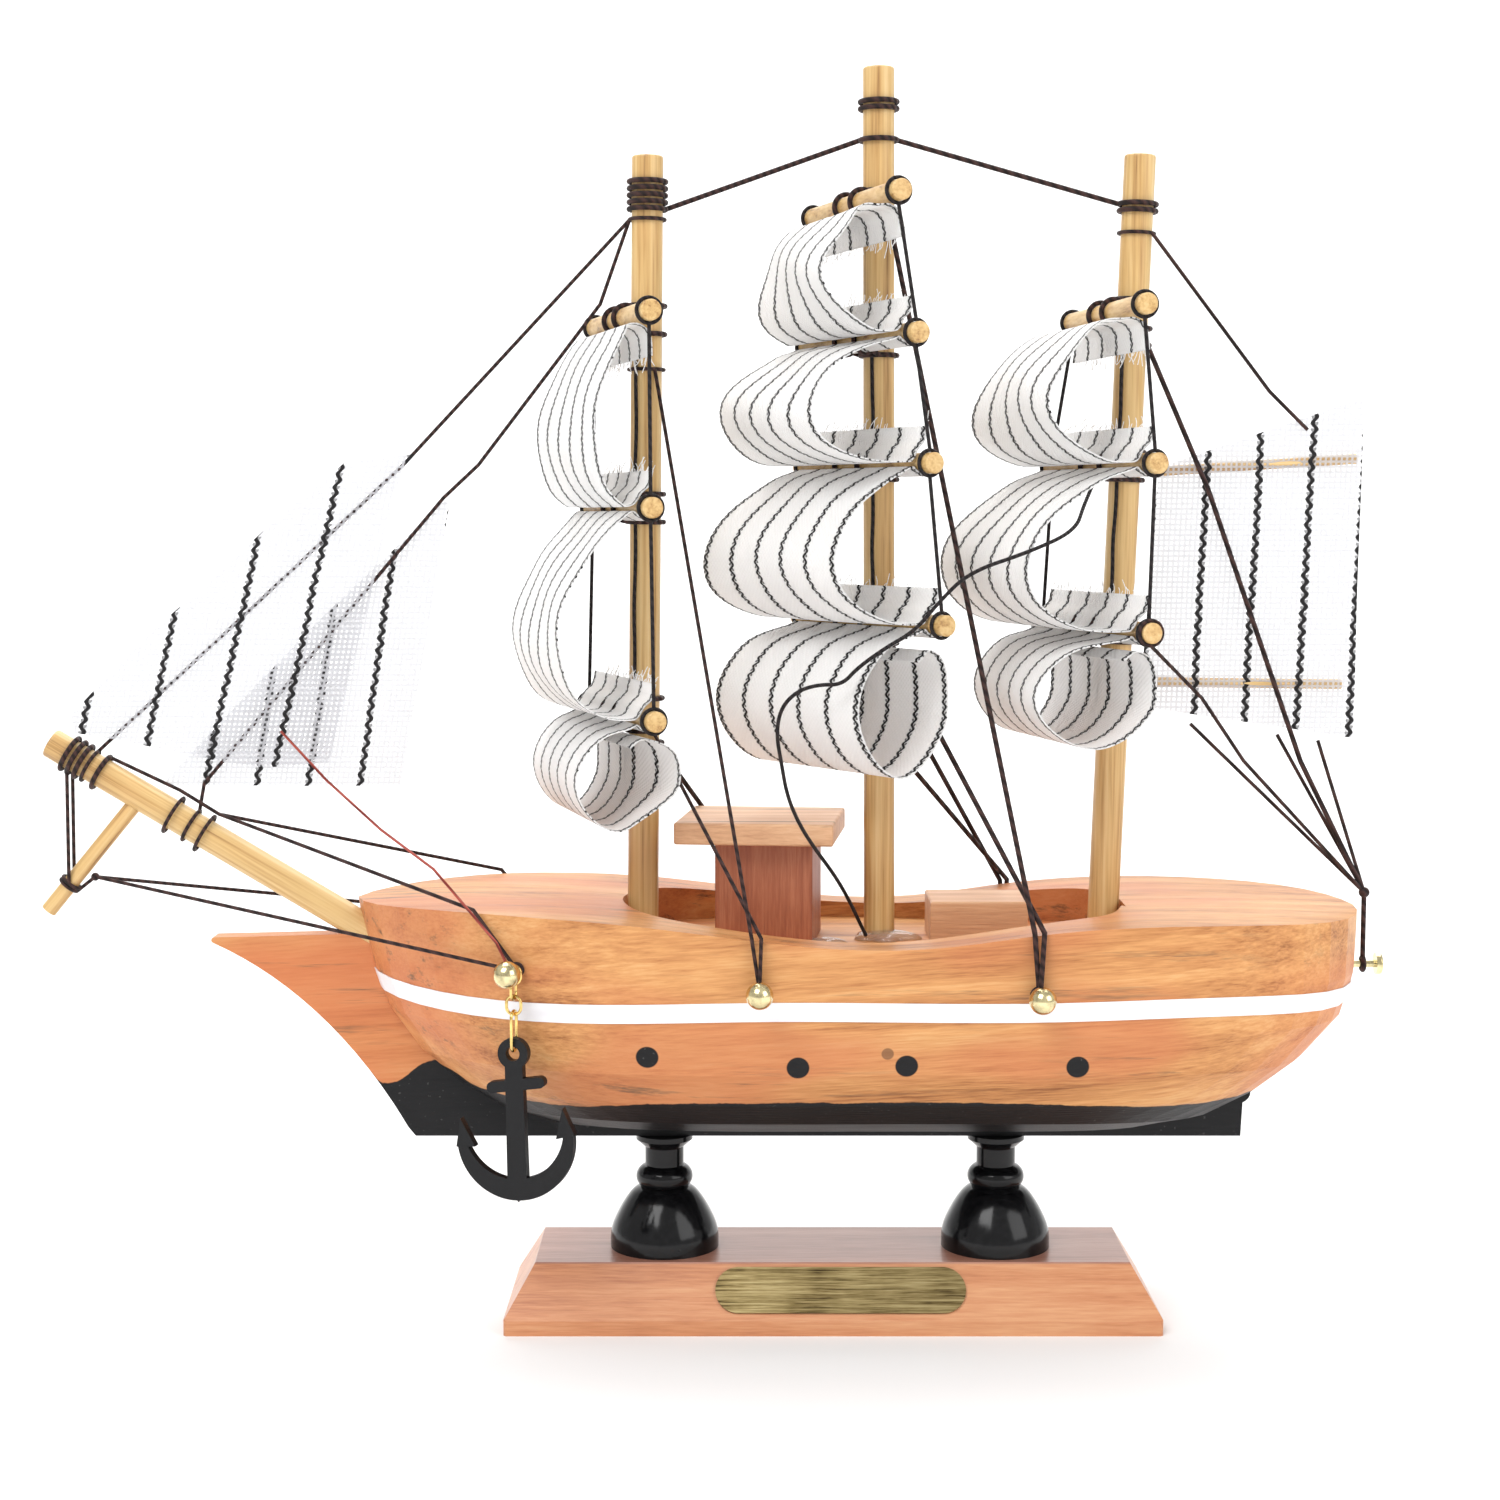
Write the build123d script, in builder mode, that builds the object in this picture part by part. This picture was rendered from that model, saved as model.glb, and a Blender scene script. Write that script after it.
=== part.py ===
"""Model sailing ship on a display stand, in millimetres.

The bow points towards -X, the stern towards +X, port is -Y and +Z is up.
The origin is the centre of the stand's underside.
"""
import math
import os

from build123d import *

os.makedirs("parts", exist_ok=True)

# ---------------------------------------------------------------- stand
base_length, base_width = 78.2, 22.0
base_top_length, base_top_width = 71.0, 14.8
base_edge, base_height = 1.8, 7.9
plate_length, plate_height, plate_thick, plate_x = 29.8, 5.5, 0.3, 0.9

pedestal_x = (-20.3, 20.1)
bell_radius, neck_radius, ring_radius, collar_radius = 6.6, 2.35, 3.4, 3.45
tenon_radius, tenon_top = 1.1, 25.6

# ---------------------------------------------------------------- hull
keel_bottom, keel_thick = 21.8, 3.0
keel_aft = 49.6
hull_bow, hull_stern = -57.5, 63.0
# one row per waterline: height, inset at the bow, inset at the stern, half breadth
waterlines = [
    (23.8, 22.5, 23.5, 7.5),
    (26.0, 16.6, 16.2, 12.9),
    (29.0, 11.8, 11.2, 16.2),
    (33.0, 7.2, 6.2, 18.5),
    (38.0, 3.6, 1.8, 19.8),
    (43.0, 1.9, 0.3, 20.3),
    (48.0, 0.8, 0.1, 20.4),
    (53.0, 0.0, 0.0, 20.4),
]
# share of the length from bow to stern, share of the half breadth
outline = [(0.024, 0.33), (0.075, 0.605), (0.145, 0.815), (0.24, 0.95), (0.40, 1.0), (0.62, 0.99),
           (0.80, 0.985), (0.90, 0.885), (0.96, 0.67), (0.991, 0.33)]
hull_facets = 34  # flats along each side of the carved hull
sheer = [(-70, 50.3), (-57, 50.9), (-45, 51.4), (-34, 51.2), (-23, 50.5), (-12, 49.2), (4, 47.8),
         (12, 48.1), (22, 49.4), (32, 50.3), (44, 50.5), (56, 50.2), (75, 49.6)]
well_floor = 46.0
well_outline = [(-25.2, 0), (-24.2, 5.8), (-21.0, 11.0), (-14.0, 14.2), (-4.0, 15.3), (5.0, 15.0),
                (13.0, 13.6), (21.0, 13.1), (28.5, 11.9), (32.8, 8.8), (34.6, 4.0), (34.9, 0)]
stripe_thick, stripe_width = 0.15, 2.2
stripe_line = [(-70, 45.0), (-53.9, 42.4), (-45.0, 41.6), (-36.0, 41.3), (-9.0, 41.8),
               (23.0, 41.7), (47.0, 42.3), (60.0, 41.9), (72, 41.7)]

# ---------------------------------------------------------------- deck houses
cabin_x, cabin_turn = -7.6, -6.6
cabin_size, roof_size = (11.6, 12.0, 12.2), (18.8, 18.0, 2.6)
roof_shift = -0.9
hatch_x, hatch_size = 17.4, (11.6, 10.0, 5.0)

# ---------------------------------------------------------------- spars
mast_radius, mast_foot = 1.85, 38.0
masts = {  # x at the foot, x at the head, height of the head
    "fore": (-22.9, -21.9, 138.8),
    "main": (5.8, 5.2, 149.0),
    "mizzen": (32.4, 36.0, 138.9),
}
fit_gap = 0.02
yard_radius, yard_length = 1.2, 31.0
yards = {  # mast, height, turn about the mast in degrees, slide towards port
    "fore_yard_upper": ("fore", 119.7, 15.5, 0.0),
    "fore_yard_middle": ("fore", 97.6, 16.8, 0.0),
    "fore_yard_lower": ("fore", 73.3, 18.5, 0.3),
    "main_yard_top": ("main", 133.0, 18.0, 0.0),
    "main_yard_upper": ("main", 117.2, 24.0, 1.0),
    "main_yard_middle": ("main", 102.6, 28.0, 2.0),
    "main_yard_lower": ("main", 84.3, 32.0, 2.5),
    "mizzen_yard_upper": ("mizzen", 120.4, 9.0, 0.0),
    "mizzen_yard_middle": ("mizzen", 102.6, 17.0, 0.0),
    "mizzen_yard_lower": ("mizzen", 83.4, 18.0, 0.0),
}
sprit_radius, sprit_tip, sprit_root = 1.8, (-93.9, 69.6), (-52.0, 44.4)
striker_radius, striker_tip, striker_root = 0.95, (-94.6, 49.2), (-84.3, 61.7)
spar_radius = 0.6
gaff_ends = ((38.0, 101.9), (62.1, 103.4))
boom_ends = ((36.2, 76.9), (60.9, 76.6))

# ---------------------------------------------------------------- sails
sail_width, sail_thick, sail_stand, sail_lap = 27.0, 0.5, 0.95, 0.8
square_sails = {  # upper yard, lower yard, depth of the belly
    "fore_sail_upper": ("fore_yard_upper", "fore_yard_middle", 6.2),
    "fore_sail_middle": ("fore_yard_middle", "fore_yard_lower", 9.4),
    "main_sail_top": ("main_yard_top", "main_yard_upper", 8.0),
    "main_sail_upper": ("main_yard_upper", "main_yard_middle", 10.6),
    "main_sail_middle": ("main_yard_middle", "main_yard_lower", 10.8),
    "mizzen_sail_upper": ("mizzen_yard_upper", "mizzen_yard_middle", 10.4),
    "mizzen_sail_middle": ("mizzen_yard_middle", "mizzen_yard_lower", 13.4),
}
curled_sails = {  # yard, half depth of the curl, half height of the curl
    "fore_sail_lower": ("fore_yard_lower", 4.4, 6.2),
    "main_sail_lower": ("main_yard_lower", 5.0, 8.1),
    "mizzen_sail_lower": ("mizzen_yard_lower", 5.4, 6.2),
}
flat_thick = 0.3
jib_outer = [(-91.0, 70.8), (-91.2, 72.8), (-49.2, 104.0), (-51.2, 102.0), (-60.5, 67.0), (-74.0, 67.6),
             (-86.0, 69.9)]
jib_inner = [(-80.8, 64.3), (-78.8, 66.6), (-46.3, 98.5), (-45.7, 98.0), (-52.0, 64.2)]
spanker = [(36.6, 74.0), (38.6, 102.4), (62.7, 110.6), (62.3, 70.2)]
jib_outer_y, jib_inner_y, spanker_y = -0.45, 0.85, -1.0

# ---------------------------------------------------------------- rigging
cord_radius, thin_radius = 0.3, 0.22
pin_head, pin_shank, pin_stand, pin_depth = 1.55, 0.45, 4.0, 5.0
side_pins = {  # x, height, turn of the pin towards the bow in degrees
    "bow": (-36.3, 45.2, 14.0),
    "fore": (-8.8, 43.4, 0.0),
    "main": (22.8, 42.8, 0.0),
}
stern_pin_z, stern_pin_stand = 42.7, 3.2
bow_stay_height = 131.4
outer_stay_x, inner_stay_x = -89.2, -77.2  # where the jibs' stays meet the bowsprit
red_radius = 0.16
# mast, height on the mast, side pin, distance from the hull, shift along the rail, thread
port_shrouds = [
    ("fore", 113.9, "fore", 0.7, 0.9, thin_radius),
    ("fore", 71.0, "fore", 1.3, -0.2, thin_radius),
    ("main", 130.3, "main", 0.7, 0.6, cord_radius),
    ("main", 81.5, "main", 1.4, -0.5, cord_radius),
]
starboard_shrouds = [
    ("fore", 69.6, "fore", 0.7, 0.0, cord_radius),
    ("main", 77.0, "main", 0.7, 0.4, cord_radius),
    ("main", 69.5, "main", 1.4, -0.5, cord_radius),
]
line_reach = 14.3  # yard lines, from the middle of the yard
yard_chains = [
    ["fore_yard_upper", "fore_yard_middle", "fore_yard_lower"],
    ["main_yard_top", "main_yard_upper", "main_yard_middle", "main_yard_lower"],
    ["mizzen_yard_upper", "mizzen_yard_middle", "mizzen_yard_lower"],
]
loose_radius = 0.225
loose_route = [
    (31.0, -1.6, 101.0), (28.6, -9.6, 98.0), (26.8, -16.8, 95.0), (21.2, -19.0, 92.6),
    (14.6, -18.6, 90.4), (11.2, -18.4, 87.0), (8.6, -18.8, 83.9), (5.2, -18.6, 82.0),
    (2.1, -17.3, 79.8), (0.4, -16.2, 77.9), (-2.2, -15.4, 77.9), (-4.6, -15.0, 77.1),
    (-6.4, -14.8, 75.1), (-6.9, -14.5, 72.1), (-6.3, -14.2, 68.6), (-5.6, -13.4, 64.6),
    (-4.1, -12.2, 61.0), (-2.2, -11.2, 58.0), (0.0, -9.6, 54.9), (1.8, -7.2, 51.6),
    (3.2, -4.6, 48.4), (4.0, -3.2, 46.7),
]

# ---------------------------------------------------------------- anchor and chain
link_wire, link_width, link_length, link_count = 0.18, 2.1, 2.5, 3
ring_width, anchor_thick, play = 2.1, 1.1, 0.04
chain_stand = 1.75
eye_drop, eye_radius, eye_hole = 9.4, 1.8, 0.83
shank_outline = [(-0.95, -1.2), (1.15, -1.2), (1.6, -15.2), (-0.75, -15.2)]
stock_middle, stock_length, stock_width, anchor_tilt = (0.3, -3.6), 7.0, 1.3, 8.5
crown = (0.2, -10.0)
arm_outer, arm_inner, arm_shift = 7.0, 6.0, 1.45
fluke = [(4.9, -10.3), (7.2, -10.1), (6.2, -6.9)]
crown_point = [(-0.6, -15.4), (1.7, -15.2), (0.55, -17.2)]


def finish(part, label):
    """Names a finished piece and writes it."""
    part.label = label
    export_step(part, f"parts/{label}.step")
    print(f"{label:22s} solids {len(part.solids()):3d}  volume {part.volume:10.3f}")


def sheer_height(x):
    """Height of the deck at x, along straight runs between the sheer points."""
    for (x0, z0), (x1, z1) in zip(sheer, sheer[1:]):
        if x <= x1:
            return z0 + (z1 - z0) * (x - x0) / (x1 - x0)
    return sheer[-1][1]


def hull_breadth(x, z):
    """Half breadth of the hull at x and z, from the waterlines and the outline."""
    rows = sorted(waterlines)
    for low, high in zip(rows, rows[1:]):
        if z <= high[0]:
            share = (z - low[0]) / (high[0] - low[0])
            bow, stern, half = (a + (b - a) * share for a, b in zip(low[1:], high[1:]))
            break
    start, end = hull_bow + bow, hull_stern - stern
    points = [(0.0, 0.0)] + outline + [(1.0, 0.0)]
    place = (x - start) / (end - start)
    for (u0, g0), (u1, g1) in zip(points, points[1:]):
        if place <= u1:
            return half * (g0 + (g1 - g0) * (place - u0) / (u1 - u0))
    return 0.0


def mast_x(mast, z):
    """Position of a mast's axis at height z."""
    foot_x, head_x, head_z = masts[mast]
    return foot_x + (head_x - foot_x) * (z - mast_foot) / (head_z - mast_foot)


def yard_frame(name):
    """A yard's middle, its direction towards starboard and its forward direction."""
    mast, z, turn, slide = yards[name]
    angle = math.radians(turn)
    along = Vector(-math.sin(angle), math.cos(angle), 0)
    forward = Vector(-math.cos(angle), -math.sin(angle), 0)
    reach = mast_radius + yard_radius + 0.03
    middle = Vector(mast_x(mast, z), 0, z) + forward * reach - along * slide
    return middle, along, forward


def yard_point(name, v, forward_by=0.0, up_by=0.0):
    """A point beside a yard: v towards starboard from its middle, then forward and up."""
    middle, along, forward = yard_frame(name)
    return middle + along * v + forward * forward_by + Vector(0, 0, up_by)


def pin_foot(pin, side):
    """Where a side pin leaves the hull, and its outward direction."""
    x, z, turn = side_pins[pin]
    angle = math.radians(turn)
    return (Vector(x, side * (hull_breadth(x, z) + 0.1), z),
            Vector(-math.sin(angle), side * math.cos(angle), 0))


def hitch(pin, side, stand, source, radius):
    """Middle of a thread's turn round a pin, and the point where the thread joins the turn."""
    start, outward = pin_foot(pin, side)
    middle = start + outward * stand
    pull = Vector(*source) - middle
    pull = (pull - outward * pull.dot(outward)).normalized()
    return middle, outward, middle + pull * (pin_shank + radius + fit_gap)


def over_rail(x, side, lift=0.25):
    """Point just outside the deck's edge, where a thread bends over it."""
    return Vector(x, side * (hull_breadth(x, 50) + 0.75), sheer_height(x) + lift)


def bar(start, end, radius):
    """Round bar between two points, in the builder that is open."""
    start, end = Vector(*start), Vector(*end)
    with Locations(Plane(origin=start, z_dir=end - start)):
        Cylinder(radius, (end - start).length, align=(Align.CENTER, Align.CENTER, Align.MIN))


def strand(points, radius):
    """Thread along straight runs, with round corners, in the builder that is open."""
    for start, end in zip(points, points[1:]):
        bar(start, end, radius)
    for corner in points[1:-1]:
        with Locations(Location(Vector(*corner))):
            Sphere(radius)


def loop(center, axis, inner, radius):
    """One turn of thread round a bar of radius inner, in the builder that is open."""
    with Locations(Plane(origin=Vector(*center), z_dir=Vector(*axis))):
        Torus(inner + radius + fit_gap, radius)


# ================================================================ stand
with BuildPart() as base:
    with BuildSketch():
        Rectangle(base_length, base_width)
    extrude(amount=base_edge)
    with BuildSketch(Plane.XY.offset(base_edge)):
        Rectangle(base_length, base_width)
    with BuildSketch(Plane.XY.offset(base_height)):
        Rectangle(base_top_length, base_top_width)
    loft()
    fillet(base.edges().filter_by(Axis.Z), 0.5)
finish(base.part, "base")

slope_run = (base_width - base_top_width) / 2
slope_rise = base_height - base_edge
slope_middle = Vector(plate_x, -(base_width - slope_run) / 2, base_edge + slope_rise * 0.52)
slope_middle += Vector(0, slope_run * 0.02, 0)
slope_normal = Vector(0, -slope_rise, slope_run)
plate_plane = Plane(origin=slope_middle, x_dir=(1, 0, 0), z_dir=slope_normal)
with BuildPart() as name_plate:
    with BuildSketch(plate_plane):
        SlotOverall(plate_length, plate_height)
    extrude(amount=plate_thick)
finish(name_plate.part, "name_plate")

for where, x in zip(("bow", "stern"), pedestal_x):
    with BuildPart() as pedestal:
        with BuildSketch(Plane.XZ):
            with BuildLine():
                foot = base_height
                Line((0, foot), (bell_radius, foot))
                Line((bell_radius, foot), (bell_radius, foot + 0.9))
                bell = Spline((bell_radius, foot + 0.9), (5.9, 11.6), (4.4, 14.2), (2.9, 15.4),
                              tangents=((0, 1), (-1, 0.35)))
                ring = ThreePointArc(bell @ 1, (ring_radius, 16.9), (neck_radius, 18.0))
                neck = Line(ring @ 1, (neck_radius, 20.2))
                flare = Line(neck @ 1, (collar_radius, 21.2))
                rim = Line(flare @ 1, (collar_radius, keel_bottom))
                shoulder = Line(rim @ 1, (tenon_radius, keel_bottom))
                tenon = Line(shoulder @ 1, (tenon_radius, tenon_top))
                top = Line(tenon @ 1, (0, tenon_top))
                Line(top @ 1, (0, foot))
            make_face()
        revolve(axis=Axis.Z)
    finish(pedestal.part.moved(Location((x, 0, 0))), f"{where}_pedestal")

# ================================================================ hull
def hull_form(grow=0.0):
    """The carved hull before its deck is cut, larger all round by grow."""
    with BuildPart() as form:
        for z, bow, stern, half in waterlines:
            start, end = hull_bow + bow - grow, hull_stern - stern + grow
            side = [(start + u * (end - start), g * (half + grow)) for u, g in outline]
            line = Edge.make_spline([Vector(start, 0), *[Vector(*p) for p in side], Vector(end, 0)])
            ring = [line @ (i / hull_facets) for i in range(hull_facets + 1)]
            with BuildSketch(Plane.XY.offset(z)):
                with BuildLine():
                    Polyline(*ring, *[Vector(p.X, -p.Y) for p in reversed(ring[1:-1])], close=True)
                make_face()
        loft(ruled=True)
    return form.part


with BuildPart() as hull:
    add(hull_form())
    with BuildSketch(Plane.XZ):
        with BuildLine():
            deck = Spline(*sheer)
            Polyline(deck @ 1, (sheer[-1][0], 70), (sheer[0][0], 70), deck @ 0)
        make_face()
    extrude(amount=40, both=True, mode=Mode.SUBTRACT)
    with BuildSketch(Plane.XY.offset(well_floor)):
        with BuildLine():
            Spline(*well_outline, tangents=((0, 1), (0, -1)))
            Spline(*[(x, -y) for x, y in well_outline], tangents=((0, -1), (0, 1)))
        make_face()
    extrude(amount=10, mode=Mode.SUBTRACT)
    for mast in masts:
        head = Vector(masts[mast][1], 0, masts[mast][2])
        foot = Vector(masts[mast][0], 0, mast_foot)
        with Locations(Plane(origin=foot, z_dir=head - foot)):
            Cylinder(mast_radius + fit_gap, 60, align=(Align.CENTER, Align.CENTER, Align.MIN),
                     mode=Mode.SUBTRACT)
    for x in pedestal_x:
        with Locations((x, 0, 20)):
            Cylinder(tenon_radius + fit_gap, tenon_top - 20,
                     align=(Align.CENTER, Align.CENTER, Align.MIN), mode=Mode.SUBTRACT)
    sprit_start, sprit_end = Vector(sprit_tip[0], 0, sprit_tip[1]), Vector(sprit_root[0], 0, sprit_root[1])
    with Locations(Plane(origin=sprit_end, z_dir=sprit_start - sprit_end)):
        Cylinder(sprit_radius + fit_gap, 30, align=(Align.CENTER, Align.CENTER, Align.MIN),
                 mode=Mode.SUBTRACT)
    for pin in side_pins:
        for side in (-1, 1):
            start, outward = pin_foot(pin, side)
            with Locations(Plane(origin=start - outward * pin_depth, z_dir=outward)):
                Cylinder(pin_shank + fit_gap, 20, align=(Align.CENTER, Align.CENTER, Align.MIN),
                         mode=Mode.SUBTRACT)
    with Locations(Plane(origin=(hull_stern - pin_depth, 0, stern_pin_z), z_dir=(1, 0, 0))):
        Cylinder(pin_shank + fit_gap, 20, align=(Align.CENTER, Align.CENTER, Align.MIN),
                 mode=Mode.SUBTRACT)
finish(hull.part, "hull")

with BuildPart() as keel_plate:
    with BuildSketch(Plane.XZ):
        with BuildLine():
            beak = Spline((-76.0, 46.1), (-64.4, 39.0), (-56.1, 30.2), (-51.3, 22.9))
            toe = Line(beak @ 1, (-50.4, keel_bottom))
            sole = Line(toe @ 1, (keel_aft, keel_bottom))
            heel = Line(sole @ 1, (keel_aft + 0.2, 25.9))
            skeg = Spline(heel @ 1, (keel_aft + 1.1, 26.9), (keel_aft + 0.6, 28.6), (keel_aft - 6, 31.0))
            inside = Polyline(skeg @ 1, (keel_aft - 12, 32.0), (-40.0, 32.0), (-48.0, 46.8))
            Line(inside @ 1, beak @ 0)
        make_face()
    extrude(amount=keel_thick / 2, both=True)
    fillet(keel_plate.edges().filter_by(Axis.Y).group_by(Axis.X)[0], 0.35)
    add(hull.part, mode=Mode.SUBTRACT)
    for x in pedestal_x:
        with Locations((x, 0, 20)):
            Cylinder(tenon_radius + fit_gap, tenon_top - 20,
                     align=(Align.CENTER, Align.CENTER, Align.MIN), mode=Mode.SUBTRACT)
    with Locations(Plane(origin=sprit_end, z_dir=sprit_start - sprit_end)):
        Cylinder(sprit_radius + fit_gap, 50, align=(Align.CENTER, Align.CENTER, Align.MIN),
                 mode=Mode.SUBTRACT)
finish(keel_plate.part.solids().sort_by(SortBy.VOLUME)[-1], "keel_plate")

with BuildPart() as hull_stripe:
    with BuildSketch(Plane.XZ):
        with BuildLine():
            upper = Spline(*stripe_line)
            lower = Spline(*[(x, z - stripe_width) for x, z in stripe_line])
            Line(upper @ 0, lower @ 0)
            Line(upper @ 1, lower @ 1)
        make_face()
    extrude(amount=40, both=True)
    add(hull_form(stripe_thick), mode=Mode.INTERSECT)
    add(hull_form(), mode=Mode.SUBTRACT)
    add(keel_plate.part, mode=Mode.SUBTRACT)
finish(Compound(hull_stripe.part.solids().sort_by(SortBy.VOLUME)[-2:]), "hull_stripe")

# ================================================================ deck houses
cabin_plane = Plane(origin=(cabin_x, 0, well_floor), z_dir=(0, 0, 1)).rotated((0, 0, cabin_turn))
with BuildPart() as cabin:
    with BuildSketch(cabin_plane):
        Rectangle(*cabin_size[:2])
    extrude(amount=cabin_size[2])
    fillet(cabin.edges().filter_by(Axis.Z), 0.25)
finish(cabin.part, "cabin")

with BuildPart() as cabin_roof:
    with BuildSketch(cabin_plane.offset(cabin_size[2])):
        with Locations((roof_shift, 0)):
            Rectangle(*roof_size[:2])
    extrude(amount=roof_size[2])
    fillet(cabin_roof.edges(), 0.3)
finish(cabin_roof.part, "cabin_roof")

with BuildPart() as deck_hatch:
    with BuildSketch(Plane.XY.offset(well_floor)):
        with Locations((hatch_x, 0)):
            Rectangle(*hatch_size[:2])
    extrude(amount=hatch_size[2])
    fillet(deck_hatch.edges().filter_by(Axis.Z, reverse=True).group_by(Axis.Z)[-1], 0.3)
finish(deck_hatch.part, "deck_hatch")

# ================================================================ spars
for mast, (foot_x, head_x, head_z) in masts.items():
    with BuildPart() as spar:
        bar((foot_x, 0, mast_foot), (head_x, 0, head_z), mast_radius)
        fillet(spar.edges().group_by(Axis.Z)[-1], 0.3)
    finish(spar.part, f"{mast}_mast")

for name in yards:
    with BuildPart() as yard:
        bar(yard_point(name, -yard_length / 2), yard_point(name, yard_length / 2), yard_radius)
        chamfer(yard.edges().filter_by(GeomType.CIRCLE), 0.15)
    finish(yard.part, name)

with BuildPart() as bowsprit:
    bar(sprit_end, sprit_start, sprit_radius)
    fillet(bowsprit.edges().group_by(Axis.X)[0], 0.3)
finish(bowsprit.part, "bowsprit")

with BuildPart() as dolphin_striker:
    lean = Vector(striker_root[0] - striker_tip[0], 0, striker_root[1] - striker_tip[1]).normalized()
    striker_end = Vector(striker_tip[0], 0, striker_tip[1])
    bar(striker_end, Vector(striker_root[0], 0, striker_root[1]) + lean, striker_radius)
    with Locations(Plane(origin=sprit_end, z_dir=sprit_start - sprit_end)):
        Cylinder(sprit_radius + fit_gap, 50, align=(Align.CENTER, Align.CENTER, Align.MIN),
                 mode=Mode.SUBTRACT)
finish(dolphin_striker.part, "dolphin_striker")

# ================================================================ sails
def mean_frame(upper, lower):
    """Direction along the sail and forward direction, half way between its two yards."""
    along = (yard_frame(upper)[1] + yard_frame(lower)[1]).normalized()
    forward = (yard_frame(upper)[2] + yard_frame(lower)[2]).normalized()
    return along, forward


for name, (upper, lower, depth) in square_sails.items():
    along, forward = mean_frame(upper, lower)
    top, bottom = yard_frame(upper)[0], yard_frame(lower)[0]
    turn = math.radians(abs(yards[upper][2] - yards[lower][2])) / 2
    clear = yard_radius + sail_stand + sail_width / 2 * math.sin(turn)
    middle = (top + bottom) / 2
    start = middle - along * sail_width / 2
    sail_plane = Plane(origin=start, x_dir=forward, z_dir=along)
    top_at, bottom_at = sail_plane.to_local_coords(top), sail_plane.to_local_coords(bottom)
    with BuildPart() as sail:
        with BuildSketch(sail_plane):
            with BuildLine():
                ThreePointArc((top_at.X + clear, top_at.Y - sail_lap),
                              ((top_at.X + bottom_at.X) / 2 + depth, 0),
                              (bottom_at.X + clear, bottom_at.Y + sail_lap))
                offset(amount=sail_thick / 2, side=Side.BOTH)
            make_face()
        extrude(amount=sail_width)
    finish(sail.part, name)

for name, (yard, half_depth, half_height) in curled_sails.items():
    middle, along, forward = yard_frame(yard)
    start = middle - along * sail_width / 2
    curl_plane = Plane(origin=start, x_dir=forward, z_dir=along)
    with BuildPart() as sail:
        with BuildSketch(curl_plane):
            with Locations((half_depth - 0.6, -half_height - yard_radius - 0.75)):
                Ellipse(half_depth + sail_thick / 2, half_height + sail_thick / 2)
                Ellipse(half_depth - sail_thick / 2, half_height - sail_thick / 2, mode=Mode.SUBTRACT)
        extrude(amount=sail_width)
    finish(sail.part, name)

for name, outline_points, y in (("outer_jib", jib_outer, jib_outer_y), ("inner_jib", jib_inner, jib_inner_y),
                                ("spanker", spanker, spanker_y)):
    with BuildPart() as sail:
        with BuildSketch(Plane.XZ.offset(-y)):
            with BuildLine():
                Polyline(*outline_points, close=True)
            make_face()
        extrude(amount=flat_thick / 2, both=True)
    finish(sail.part, name)

for name, ((x0, z0), (x1, z1)) in (("spanker_gaff", gaff_ends), ("spanker_boom", boom_ends)):
    with BuildPart() as batten:
        batten_y = spanker_y + flat_thick / 2 + spar_radius + fit_gap
        bar((x0, batten_y, z0), (x1, batten_y, z1), spar_radius)
    finish(batten.part, name)

# ================================================================ pins
with BuildPart() as side_pin_set:
    for pin in side_pins:
        for side in (-1, 1):
            start, outward = pin_foot(pin, side)
            bar(start - outward * pin_depth, start + outward * pin_stand, pin_shank)
            with Locations(Location(start + outward * pin_stand)):
                Sphere(pin_head)
finish(side_pin_set.part, "side_pins")

with BuildPart() as stern_pin:
    bar((hull_stern - pin_depth, 0, stern_pin_z), (hull_stern + stern_pin_stand, 0, stern_pin_z),
        pin_shank)
    with Locations(Plane(origin=(hull_stern + stern_pin_stand, 0, stern_pin_z), z_dir=(1, 0, 0))):
        Cylinder(1.3, 0.8)
    fillet(stern_pin.edges().group_by(Axis.X)[-1], 0.3)
finish(stern_pin.part, "stern_pin")

# ================================================================ chain and anchor
chain_start, chain_axis = pin_foot("bow", -1)
chain_origin = chain_start + chain_axis * chain_stand
aft = Vector(0, 0, 1).cross(chain_axis)
face_plane = Plane(origin=chain_origin, x_dir=aft, z_dir=chain_axis)
edge_plane = Plane(origin=chain_origin, x_dir=chain_axis, z_dir=aft * -1)


def link_solid(plane, top, width, length):
    """A link of round wire in a plane, its highest point top above the plane's origin."""
    bend = width / 2 - link_wire
    high, low = top - link_wire - bend, top - length + link_wire + bend
    with BuildPart() as link:
        with BuildLine(plane):
            right = Line((bend, low), (bend, high))
            ThreePointArc((bend, high), (0, high + bend), (-bend, high))
            Line((-bend, high), (-bend, low))
            ThreePointArc((-bend, low), (0, low - bend), (bend, low))
        with BuildSketch(Plane(origin=right @ 0.5, z_dir=right % 0.5)):
            Circle(link_wire)
        sweep()
    return link.part


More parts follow.
